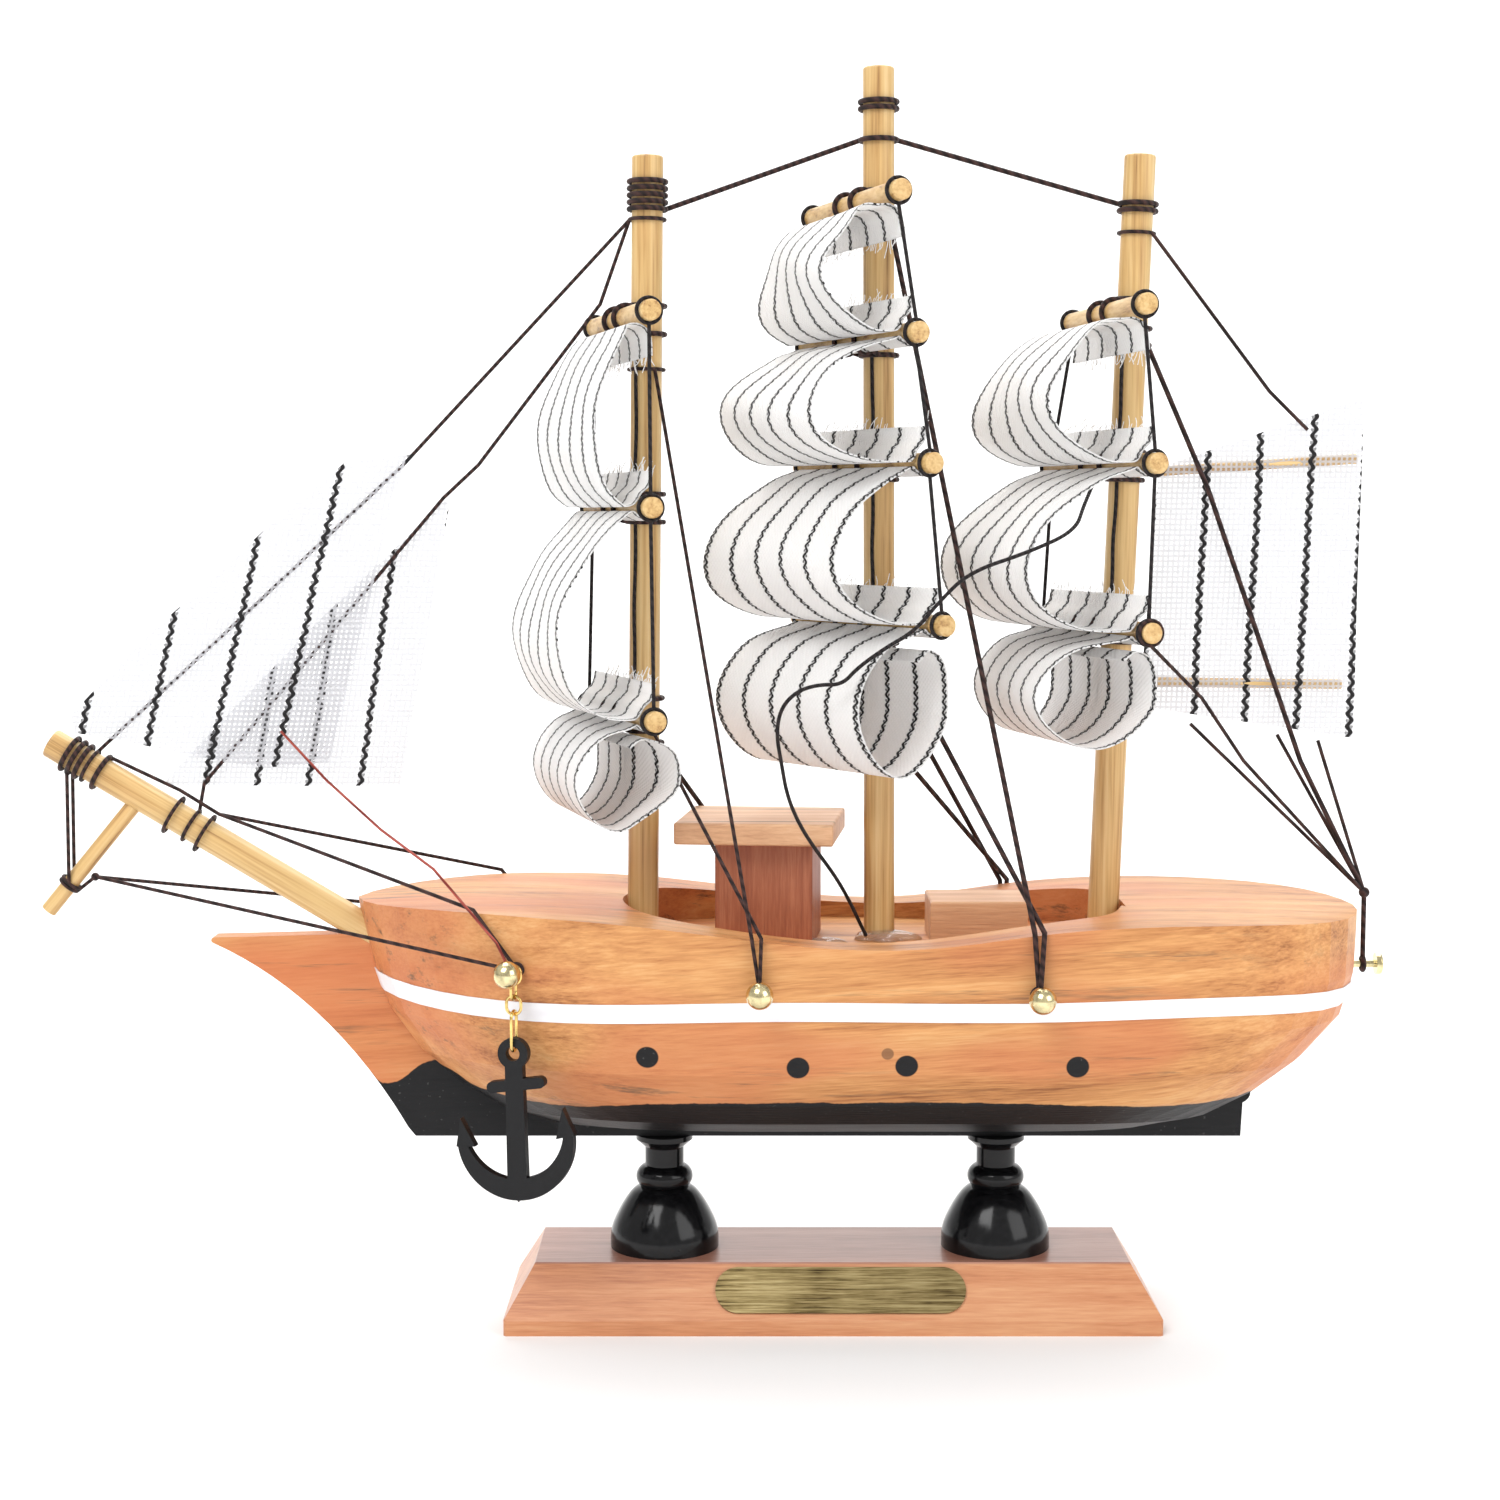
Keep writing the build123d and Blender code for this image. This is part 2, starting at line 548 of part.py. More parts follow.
print(f"chain axis {tuple(chain_axis)}  aft {tuple(aft)}")
support = pin_shank
for number in range(1, link_count + 1):
    joint_height = support - (pin_shank if number == 1 else link_wire)
    joint_at = chain_origin + Vector(0, 0, joint_height)
    print(f"joint of chain_link_{number} at {tuple(joint_at)}")
    top = support + play + 2 * link_wire
    plane = face_plane if number % 2 else edge_plane
    finish(link_solid(plane, top, link_width, link_length), f"chain_link_{number}")
    support = top - link_length + 2 * link_wire
ring_top = support + play + 2 * link_wire
ring_low = -eye_drop + eye_hole - 0.40 - 2 * link_wire
print(f"joint of anchor_ring at {tuple(chain_origin + Vector(0, 0, support - link_wire))}")
finish(link_solid(edge_plane, ring_top, ring_width, ring_top - ring_low), "anchor_ring")
print(f"joint of anchor at {tuple(chain_origin + Vector(0, 0, ring_low + link_wire))}")

eye_middle = chain_origin - Vector(0, 0, eye_drop)
with BuildPart() as anchor:
    with BuildSketch(Plane(origin=eye_middle - chain_axis * anchor_thick / 2, x_dir=aft, z_dir=chain_axis)):
        Circle(eye_radius)
        with BuildLine():
            Polyline(*shank_outline, close=True)
        make_face()
        with Locations(Location((*stock_middle, 0), (0, 0, anchor_tilt))):
            SlotOverall(stock_length, stock_width)
        with BuildSketch(mode=Mode.PRIVATE) as arms:
            Circle(arm_outer)
            with Locations((0, arm_shift)):
                Circle(arm_inner, mode=Mode.SUBTRACT)
            with Locations((0, arm_outer)):
                Rectangle(30, 2 * arm_outer, mode=Mode.SUBTRACT)
            for side in (-1, 1):
                with BuildLine():
                    Polyline(*[(side * x, z - crown[1]) for x, z in fluke], close=True)
                make_face()
        add(arms.sketch.moved(Location((*crown, 0), (0, 0, anchor_tilt))))
        with BuildLine():
            Polyline(*crown_point, close=True)
        make_face()
        Circle(eye_hole, mode=Mode.SUBTRACT)
    extrude(amount=anchor_thick)
finish(anchor.part, "anchor")

# ================================================================ rigging
def mast_ring(mast, z, radius):
    """Turn of thread round a mast, in the builder that is open."""
    foot_x, head_x, head_z = masts[mast]
    loop((mast_x(mast, z), 0, z), (head_x - foot_x, 0, head_z - mast_foot), mast_radius, radius)


def mast_side(mast, z, target, radius):
    """Point on a mast's turn of thread that faces the target."""
    middle = Vector(mast_x(mast, z), 0, z)
    pull = Vector(*target) - middle
    pull = Vector(pull.X, pull.Y, 0).normalized()
    return middle + pull * (mast_radius + radius + fit_gap)


def sprit_point(x):
    """Point on the bowsprit's axis at x."""
    share = (x - sprit_root[0]) / (sprit_tip[0] - sprit_root[0])
    return sprit_end + (sprit_start - sprit_end) * share


sprit_dir = (sprit_start - sprit_end).normalized()
sprit_up = Vector(-sprit_dir.Z, 0, sprit_dir.X) * -1

# stays from the masthead to the bowsprit, along the luff of each jib
with BuildPart() as bow_rigging:
    mast_ring("fore", bow_stay_height, thin_radius)
    outer_top = sprit_point(outer_stay_x) + sprit_up * (sprit_radius + thin_radius + fit_gap)
    stay_head = mast_side("fore", bow_stay_height, (-90, 0, 0), thin_radius)
    strand([stay_head, Vector(-50.9, 0, 102.9),
            Vector(-68.2, 0, 86.8), outer_top], thin_radius)
    inner_top = sprit_point(inner_stay_x) + sprit_up * (sprit_radius + thin_radius + fit_gap)
    strand([stay_head, Vector(-27.6, 0.4, 121.6),
            Vector(-42.2, 0.4, 102.7), Vector(-46.4, 0.4, 98.8), Vector(-75.6, 0.4, 64.6), inner_top],
           thin_radius)
    for x in (outer_stay_x, inner_stay_x):
        loop(sprit_point(x), sprit_dir, sprit_radius, thin_radius)
    for x in (-87.9, -90.0, -90.8, -91.6):
        loop(sprit_point(x), sprit_dir, sprit_radius, cord_radius)
    for x in (-79.3, -75.6):
        loop(sprit_point(x), sprit_dir, sprit_radius + 0.3, thin_radius)
    # bow stays: along the bowsprit, then apart to the first side pins
    split = Vector(-73.8, 0, 60.9)
    strand([sprit_point(-87.9) + sprit_up * (sprit_radius + cord_radius + fit_gap),
            sprit_point(-80.0) + sprit_up * 3.0, split], thin_radius)
    # bobstays: from the striker's knot, below the rail, to the same pins
    knot = Vector(-88.9, 0, 53.3)
    striker_at = striker_end + lean * 4.0
    striker_side = lean.cross(Vector(0, 1, 0)) * -1
    loop(striker_at, lean, striker_radius, thin_radius)
    loop(striker_at + lean * 0.45, lean, striker_radius, thin_radius)
    strand([striker_at + striker_side * (striker_radius + thin_radius + fit_gap), knot], thin_radius)
    with Locations(Location(knot)):
        Sphere(0.5)
    for side in (-1, 1):
        strand([sprit_point(-90.8) - sprit_up * (sprit_radius + cord_radius + fit_gap) * 0.8
                + Vector(0, side * 1.27, 0),
                striker_at + lean * 0.45 + Vector(0, side * (striker_radius + thin_radius + fit_gap), 0)],
               thin_radius)
    for side in (-1, 1):
        rail = over_rail(-41.5, side, 0.5)
        middle, outward, touch = hitch("bow", side, 0.6, rail, thin_radius)
        loop(middle, outward, pin_shank, thin_radius)
        strand([split, rail, touch], thin_radius)
        middle, outward, touch = hitch("bow", side, 1.1, knot, thin_radius)
        loop(middle, outward, pin_shank, thin_radius)
        strand([knot, touch], thin_radius)
finish(bow_rigging.part, "bow_rigging")

# thin red thread from the inner jib to the port pin
with BuildPart() as red_thread:
    middle, outward, touch = hitch("bow", -1, 2.2, (-46.1, -15.0, 56.2), red_radius)
    loop(middle, outward, pin_shank, red_radius)
    strand([Vector(-66.0, -0.95, 71.0), Vector(-60.2, -4.0, 65.5), Vector(-52.9, -10.0, 60.3),
            Vector(-46.1, -15.4, 56.4), middle + outward * 0.3 + Vector(-1.6, -0.2, 3.4), touch], red_radius)
finish(red_thread.part, "red_thread")

# stays between the mastheads, and down to the stern
with BuildPart() as masthead_stays:
    for mast, heights in (("fore", (132.6, 133.4, 134.2, 135.0, 135.8)),
                          ("main", (140.6, 144.2, 145.0)), ("mizzen", (132.4, 133.2))):
        for z in heights:
            mast_ring(mast, z, cord_radius)
    strand([mast_side("fore", 132.6, (50, 0, 0), cord_radius),
            mast_side("main", 140.6, (-50, 0, 0), cord_radius)], cord_radius)
    strand([mast_side("main", 140.6, (50, 0, 0), cord_radius),
            mast_side("mizzen", 133.2, (-50, 0, 0), cord_radius)], cord_radius)
finish(masthead_stays.part, "masthead_stays")

with BuildPart() as stern_rigging:
    stern_x = hull_stern + 1.3
    gather = Vector(stern_x, 0, 51.4)
    with Locations(Location(gather)):
        Sphere(0.65)
    mast_ring("mizzen", 129.8, thin_radius)
    strand([mast_side("mizzen", 129.8, (70, -30, 0), thin_radius), Vector(51.4, -1.5, 111.3),
            Vector(56.0, -1.5, 106.8)], thin_radius)
    mast_ring("mizzen", 116.8, cord_radius)
    strand([mast_side("mizzen", 116.8, (60, -20, 0), cord_radius), Vector(44.4, -1.75, 99.6),
            Vector(55.9, -1.75, 67.5), gather], cord_radius)
    for start in ((42.8, -1.0, 71.9), (53.2, -1.0, 70.6), (58.1, -1.0, 69.9)):
        strand([Vector(*start), gather], thin_radius)
    yard_tip = yard_point("mizzen_yard_lower", -14.9)
    axis = yard_frame("mizzen_yard_lower")[1]
    loop(yard_tip, axis, yard_radius, thin_radius)
    strand([yard_tip - Vector(0, 0, yard_radius + thin_radius + fit_gap), Vector(42.6, -9.5, 75.6),
            Vector(48.3, -6.0, 67.9), gather], thin_radius)
    pin_ring = Vector(stern_x, 0, stern_pin_z)
    loop(pin_ring, (1, 0, 0), pin_shank, cord_radius)
    strand([gather, pin_ring + Vector(0, 0, pin_shank + cord_radius + fit_gap)], cord_radius)
finish(stern_rigging.part, "stern_rigging")

# shrouds from the masts to the side pins
for name, side, shrouds in (("port_shrouds", -1, port_shrouds), ("starboard_shrouds", 1, starboard_shrouds)):
    with BuildPart() as shroud_set:
        for mast, z, pin, stand, rail_shift, radius in shrouds:
            rail = over_rail(side_pins[pin][0] - rail_shift, side, 0.4)
            middle, outward, touch = hitch(pin, side, stand, rail, radius)
            loop(middle, outward, pin_shank, radius)
            mast_ring(mast, z, radius)
            strand([mast_side(mast, z, rail, radius), rail, touch], radius)
    finish(shroud_set.part, name)

# threads that link the yards of each mast at their ends
with BuildPart() as yard_lines:
    for chain in yard_chains:
        for v in (-line_reach, line_reach):
            for name in chain:
                loop(yard_point(name, v), yard_frame(name)[1], yard_radius, thin_radius)
            for upper, lower in zip(chain, chain[1:]):
                drop = yard_radius + thin_radius + fit_gap
                strand([yard_point(upper, v, 0, -drop), yard_point(lower, v, 0, drop)], thin_radius)
finish(yard_lines.part, "yard_lines")

# lashings that hold each yard to its mast
with BuildPart() as yard_lashings:
    for name, (mast, z, turn, slide) in yards.items():
        rise = yard_radius + cord_radius + 0.15
        for up in (-1, 1):
            mast_ring(mast, z + up * rise, cord_radius)
        for v in (-2.6, 2.6):
            at = v + slide
            loop(yard_point(name, at), yard_frame(name)[1], yard_radius, cord_radius)
            for up in (-1, 1):
                reach = yard_radius + cord_radius + fit_gap
                turn_end = yard_point(name, at, -0.6 * reach, up * 0.8 * reach)
                mast_end = yard_point(name, slide + math.copysign(1.95, v), -2.1, up * rise)
                strand([turn_end, mast_end], cord_radius)
finish(yard_lashings.part, "yard_lashings")

# ================================================================ loose thread
route = [Vector(*point) for point in loose_route]
radii = []
for before, corner, after in zip(route, route[1:], route[2:]):
    turn = (corner - before).get_angle(after - corner)
    shorter = min((corner - before).length, (after - corner).length)
    radii.append(0.45 * shorter / math.tan(math.radians(turn / 2)))
print("loose thread radii", [round(radius, 1) for radius in radii])
with BuildPart() as loose_thread:
    with BuildLine() as loose_line:
        FilletPolyline(*route, radius=radii)
    loose_path = loose_line.wire()
    with BuildSketch(Plane(origin=loose_path @ 0, z_dir=loose_path % 0)):
        Circle(loose_radius)
    sweep(path=loose_path)
print(f"loose thread length {loose_path.length:.2f}, section times length "
      f"{math.pi * loose_radius ** 2 * loose_path.length:.3f}")
finish(loose_thread.part, "loose_thread")
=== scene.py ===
"""Looks of the model sailing ship: striped ribbon sails, bamboo, carved wood, thread and brass."""
import math
import random

import bmesh
import bpy
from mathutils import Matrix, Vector


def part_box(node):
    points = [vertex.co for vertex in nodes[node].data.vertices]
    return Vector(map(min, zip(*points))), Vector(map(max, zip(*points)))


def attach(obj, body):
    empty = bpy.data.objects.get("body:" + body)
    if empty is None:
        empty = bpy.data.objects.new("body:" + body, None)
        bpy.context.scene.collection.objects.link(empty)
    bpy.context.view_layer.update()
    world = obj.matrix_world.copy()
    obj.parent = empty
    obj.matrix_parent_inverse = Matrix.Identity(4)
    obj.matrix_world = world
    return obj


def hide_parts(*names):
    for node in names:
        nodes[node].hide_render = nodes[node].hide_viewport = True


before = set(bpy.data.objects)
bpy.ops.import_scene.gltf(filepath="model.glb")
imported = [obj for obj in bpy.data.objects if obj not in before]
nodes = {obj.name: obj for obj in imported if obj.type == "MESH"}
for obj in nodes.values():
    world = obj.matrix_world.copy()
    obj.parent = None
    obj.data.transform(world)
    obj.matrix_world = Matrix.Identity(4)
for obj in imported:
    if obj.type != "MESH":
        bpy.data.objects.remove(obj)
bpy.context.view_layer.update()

MM = 0.001
TURN = 2 * math.pi

# ---------------------------------------------------------------- sizes, in millimetres
RIBBON_WIDTH = 27.0
CLOTH_THICK = 0.16
WEAVE_PITCH = 0.62
UV_SPAN = 100.0         # one unit of a sail's UV map
UV_MIDDLE = 50.0        # where a sail's middle line lies on its UV map
STRIPE_SPACING = 5.2
RIBBON_STRIPE = (0.27, 0.26, 1.25)  # a stripe's half width, how far it wanders, and its pitch
GAUZE_STRIPE = (0.34, 0.22, 1.5)
HAIR_THICK = 0.09
HAIR_REACH = (0.4, 1.5)
GAUZE_MESH = 1.2
GAUZE_WAVE = 0.22
MAST_RADIUS = 1.85
MAST_LINE_THICK = 0.45
MAST_LINE_SINK = 0.05
MAST_LINE_SWAY = 0.12
MAST_RING = 1.5         # height at either end of a mast that its end points are taken from
BOARD_TOP = (7.6, 7.85)  # where the stand's slopes turn into its top
RED_BOW, RED_STERN = (-34.0, -56.0), (44.0, 62.0)  # where the hull's red ends begin and are full
RED_BELOW = (47.5, 43.5)
PORTHOLE_SIDES = (9.0, 10.0)  # marks show further than this from the middle of the hull

# ---------------------------------------------------------------- counts, shares and angles
SAIL_COLUMNS = 55
LINE_STEPS = 6          # steps of a sail's line between two of its points
MAST_LINE_STEPS = 8
HAIRS_LEFT_OUT = 0.35
TRANSLUCENCE = 0.40
GAUZE_OPACITY = 0.78
LOW_FRAY_SEED, HIGH_FRAY_SEED = 50, 80
HULL_GRAIN_SLOPE = 4.0  # degrees
SPRIT_SLOPE, STRIKER_SLOPE = -31.0, 50.5

# ---------------------------------------------------------------- camera, lights and floor, in metres
LENS, SENSOR = 60.19, 36.0  # millimetres
CAMERA_PLACE = (-0.00987, -0.300, 0.09677)
CAMERA_DIP = 5.353  # degrees below level
SHIP_MIDDLE = (0.0, 0.0, 0.07)
WALL_FOOT = (0.0, 0.45, 0.0)
WORLD_STRENGTH = 0.66
LIGHTS = [  # name, place, what it points at, size, power
    ("key", (-0.35, -0.55, 0.75), SHIP_MIDDLE, 0.5, 5.0),
    ("fill", (0.60, -0.45, 0.40), SHIP_MIDDLE, 0.5, 2.0),
    ("back", (0.0, 0.55, 0.95), WALL_FOOT, 0.9, 9.0),
]
FLOOR_FRONT, FLOOR_END, WALL_TOP, FLOOR_HALF_WIDTH = -1.2, 0.5, 2.2, 2.5
COVE_RADIUS, COVE_STEPS = 0.4, 12

# ---------------------------------------------------------------- loose thread
# The route is in millimetres, the diameter in metres.
LOOSE_ROUTE = [
    (31.0, -1.6, 101.0), (28.6, -9.6, 98.0), (26.8, -16.8, 95.0), (21.2, -19.0, 92.6),
    (14.6, -18.9, 90.4), (11.2, -19.2, 87.0), (8.6, -19.8, 83.9), (5.2, -20.6, 82.0),
    (2.1, -20.9, 79.8), (0.4, -20.8, 77.9), (-2.2, -20.2, 77.9), (-4.6, -19.2, 77.1),
    (-6.4, -18.0, 75.1), (-6.9, -16.6, 72.1), (-6.3, -15.2, 68.6), (-5.6, -13.8, 64.6),
    (-4.1, -12.2, 61.0), (-2.2, -11.2, 58.0), (0.0, -9.6, 54.9), (1.8, -7.2, 51.6),
    (3.2, -4.6, 48.4), (4.0, -3.2, 46.7),
]
LOOSE_DIAMETER = 0.00045

# ---------------------------------------------------------------- sails
SQUARE_SAILS = [  # name, upper yard, lower yard, depth of the belly at the near edge and at the far edge
    ("fore_sail_upper", "fore_yard_upper", "fore_yard_middle", 6.2, 7.3),
    ("fore_sail_middle", "fore_yard_middle", "fore_yard_lower", 11.0, 10.0),
    ("main_sail_top", "main_yard_top", "main_yard_upper", 9.9, 7.0),
    ("main_sail_upper", "main_yard_upper", "main_yard_middle", 14.3, 12.2),
    ("main_sail_middle", "main_yard_middle", "main_yard_lower", 13.0, 14.5),
    ("mizzen_sail_upper", "mizzen_yard_upper", "mizzen_yard_middle", 11.6, 11.5),
    ("mizzen_sail_middle", "mizzen_yard_middle", "mizzen_yard_lower", 15.0, 14.5),
]
TOP_YARDS = ("fore_yard_upper", "main_yard_top", "mizzen_yard_upper")
CURLED_SAILS = [  # name, yard, depth at the near edge and at the far edge, drop below the yard, sag to aft
    ("fore_sail_lower", "fore_yard_lower", 9.0, 7.4, 12.6, 2.6),
    ("main_sail_lower", "main_yard_lower", 10.8, 13.0, 17.2, 0.7),
    ("mizzen_sail_lower", "mizzen_yard_lower", 13.6, 9.6, 13.2, 0.7),
]
# Points of a sail's line, forward of and above the middle of a yard. A free top hangs from the yard with its
# cut end showing, and a tucked top starts between the yard and the sail above.
FREE_TOP = [(-0.5, -5.0), (-0.45, -3.4), (-0.1, -2.2), (0.9, -1.5), (2.2, -1.55)]
TUCKED_TOP = [(0.1, -1.42), (1.15, -0.95), (1.75, -0.45), (2.5, -0.75)]
TUCKED_FOOT = [(2.6, 0.15), (1.62, 0.5), (0.9, 1.6), (-0.1, 2.6), (-0.5, 4.2)]
CURL_TOP = [(0.1, -1.42), (1.15, -0.95), (1.75, -0.45), (2.6, -0.85)]
# Shares of the belly's depth, and of the height between the yards or of the curl's drop.
BELLY = [(0.42, 0.89), (0.70, 0.74), (0.92, 0.56), (1.0, 0.39), (0.94, 0.23), (0.76, 0.10), (0.5, 0.02)]
CURL_FRONT = [(0.62, 0.14), (0.88, 0.31), (1.0, 0.52), (0.93, 0.74), (0.70, 0.93), (0.42, 1.0), (0.14, 0.90)]
# Forward of the yard, share of the sag to aft, share of the drop.
CURL_BACK = [(-0.55, 0.8, 0.68), (-0.80, 1.0, 0.48), (-0.70, 0.8, 0.30), (-0.1, 0.3, 0.20),
             (1.2, 0.0, 0.17), (2.6, 0.0, 0.24)]
RIPPLE_SPEED, RIPPLE_LEAN = 0.25, 0.2
RIPPLE_FROM, RIPPLE_FULL = 3.0, 6.0
SAG_FROM, SAG_OVER = 2.0, 10.0
HAIRS_UP = Vector((0.25, 0.0, 0.9))
HAIRS_DOWN = Vector((-0.1, 0.0, -1.0))

# Name, outline in x and z, y, x of one stripe's foot, stripe spacing, the stripes' lean, width and height.
GAUZE_SAILS = [
    ("outer_jib",
     [(-91.0, 70.8), (-91.2, 72.9), (-83.3, 81.2), (-75.2, 88.2), (-67.0, 95.6), (-58.0, 103.0),
      (-49.6, 104.0), (-51.2, 102.0), (-60.5, 67.2), (-68.0, 66.6), (-74.0, 67.4), (-80.5, 68.8),
      (-86.0, 70.0)],
     -0.45, -90.9, 8.0, 0.235, (43.0, 38.0)),
    ("inner_jib",
     [(-80.8, 64.3), (-78.8, 66.6), (-62.4, 83.4), (-46.3, 98.5), (-45.7, 98.0), (-52.0, 64.2)],
     0.85, -75.6, 6.2, 0.16, (36.0, 35.0)),
    ("spanker",
     [(36.6, 74.0), (38.6, 102.4), (62.7, 110.6), (62.3, 70.2)],
     -1.0, 36.8, 6.2, 0.04, (27.0, 41.0)),
]
MAST_LINES = [  # mast, distance aside of its middle line, lowest and highest point
    ("fore_mast", -1.15, 75.0, 117.5),
    ("main_mast", -0.85, 85.0, 115.5),
    ("mizzen_mast", -1.15, 86.0, 116.0),
]
GLUE_DROPS = [  # name, middle, half sizes
    ("glue_main_mast", (6.4, -1.6, 46.0), (3.6, 2.8, 1.1)),
    ("glue_cabin", (-1.0, -5.2, 46.0), (2.4, 1.7, 0.8)),
    ("glue_mizzen_mast", (33.0, -1.2, 46.0), (1.6, 1.4, 0.8)),
]

# ---------------------------------------------------------------- painted marks on the hull, x and z
BOTTOM_EDGE = [(-80, 25.0), (-57, 30.5), (-53.9, 28.3), (-47.8, 31.1), (-42.5, 29.2), (-33, 28.1),
               (-20, 29.1), (0, 29.4), (22, 29.2), (40, 28.7), (50, 29.4), (60, 30.5), (80, 31)]
EDGE_START, EDGE_SPAN = -80.0, 160.0
EDGE_LOW, EDGE_RISE = 20.0, 20.0
PORTHOLES, PORTHOLE_RADIUS = [(-21.6, 35.2), (-4.4, 34.0), (8.0, 34.2), (27.5, 34.1)], 1.3
KNOT, KNOT_RADIUS = (5.8, 35.7), 0.7
PAINT_BLUR = 0.08

# ---------------------------------------------------------------- colours
BLACK_PAINT = (0.004, 0.004, 0.005)
STRIPE_BLACK = (0.012, 0.011, 0.012)
RIBBON_WHITE = (0.995, 0.99, 0.985)
GAUZE_GREY = (0.60, 0.60, 0.63)
HULL_TONES = [(0.32, (0.26, 0.095, 0.032)), (0.43, (0.50, 0.215, 0.075)), (0.54, (0.64, 0.31, 0.115)),
              (0.70, (0.74, 0.43, 0.19))]
HULL_BLUSH, HULL_RED = (0.56, 0.18, 0.075), (0.60, 0.175, 0.065)
HULL_STREAK, KNOT_BROWN = (0.13, 0.085, 0.05), (0.12, 0.06, 0.03)
PAINT_SPECK = (0.30, 0.29, 0.28)
SLOPE_TONES = [(0.3, (0.38, 0.12, 0.045)), (0.5, (0.58, 0.24, 0.105)), (0.7, (0.70, 0.36, 0.18))]
BOARD_TOP_TONES = [(0.3, (0.24, 0.09, 0.055)), (0.5, (0.38, 0.17, 0.115)), (0.7, (0.50, 0.26, 0.18))]
CABIN_TONES = [(0.3, (0.20, 0.05, 0.025)), (0.5, (0.36, 0.11, 0.05)), (0.7, (0.52, 0.20, 0.10))]
ROOF_TONES = [(0.3, (0.45, 0.22, 0.11)), (0.5, (0.66, 0.38, 0.21)), (0.7, (0.78, 0.53, 0.33))]
ROOF_STREAK = (0.20, 0.09, 0.05)
HATCH_TONES = [(0.3, (0.42, 0.20, 0.10)), (0.5, (0.62, 0.34, 0.18)), (0.7, (0.75, 0.48, 0.28))]
BAMBOO_TONES = [(0.32, (0.22, 0.10, 0.03)), (0.41, (0.50, 0.29, 0.10)), (0.52, (0.64, 0.42, 0.17)),
                (0.70, (0.76, 0.56, 0.28))]
BAMBOO_PATCH = (0.66, 0.40, 0.16)
LACQUER_TONES = [(0.4, (0.003, 0.003, 0.0035)), (0.8, (0.010, 0.010, 0.011))]
PLATE_TONES = [(0.38, (0.035, 0.025, 0.012)), (0.47, (0.20, 0.145, 0.06)), (0.58, (0.36, 0.28, 0.13)),
               (0.72, (0.52, 0.43, 0.24))]
CHAIN_GOLD, PIN_GOLD = (0.93, 0.66, 0.24), (0.86, 0.74, 0.42)
ANCHOR_BLACK, ANCHOR_WORN = (0.005, 0.005, 0.006), (0.035, 0.035, 0.04)
# Tape colours: the darker one is painted shade in the tape's creases.
TAPE_TONES = [(0.3, (0.80, 0.79, 0.82)), (0.7, (0.90, 0.90, 0.92))]
FIBRE_TONES = [(0.3, (0.72, 0.71, 0.70)), (0.7, (0.93, 0.93, 0.92))]
GLUE_TONES = [(0.3, (0.90, 0.82, 0.68)), (0.7, (0.97, 0.94, 0.88))]
FLOOR_TONES = [(0.3, (0.90, 0.90, 0.90)), (0.7, (0.93, 0.93, 0.93))]
# Each thread has a dark and a light colour: the dark one is painted shade in the grooves between its plies.
BLACK_THREAD = ((0.004, 0.003, 0.004), (0.026, 0.018, 0.018))
BROWN_THREAD = ((0.008, 0.003, 0.003), (0.070, 0.030, 0.025))
RED_THREAD = ((0.16, 0.02, 0.015), (0.50, 0.10, 0.07))


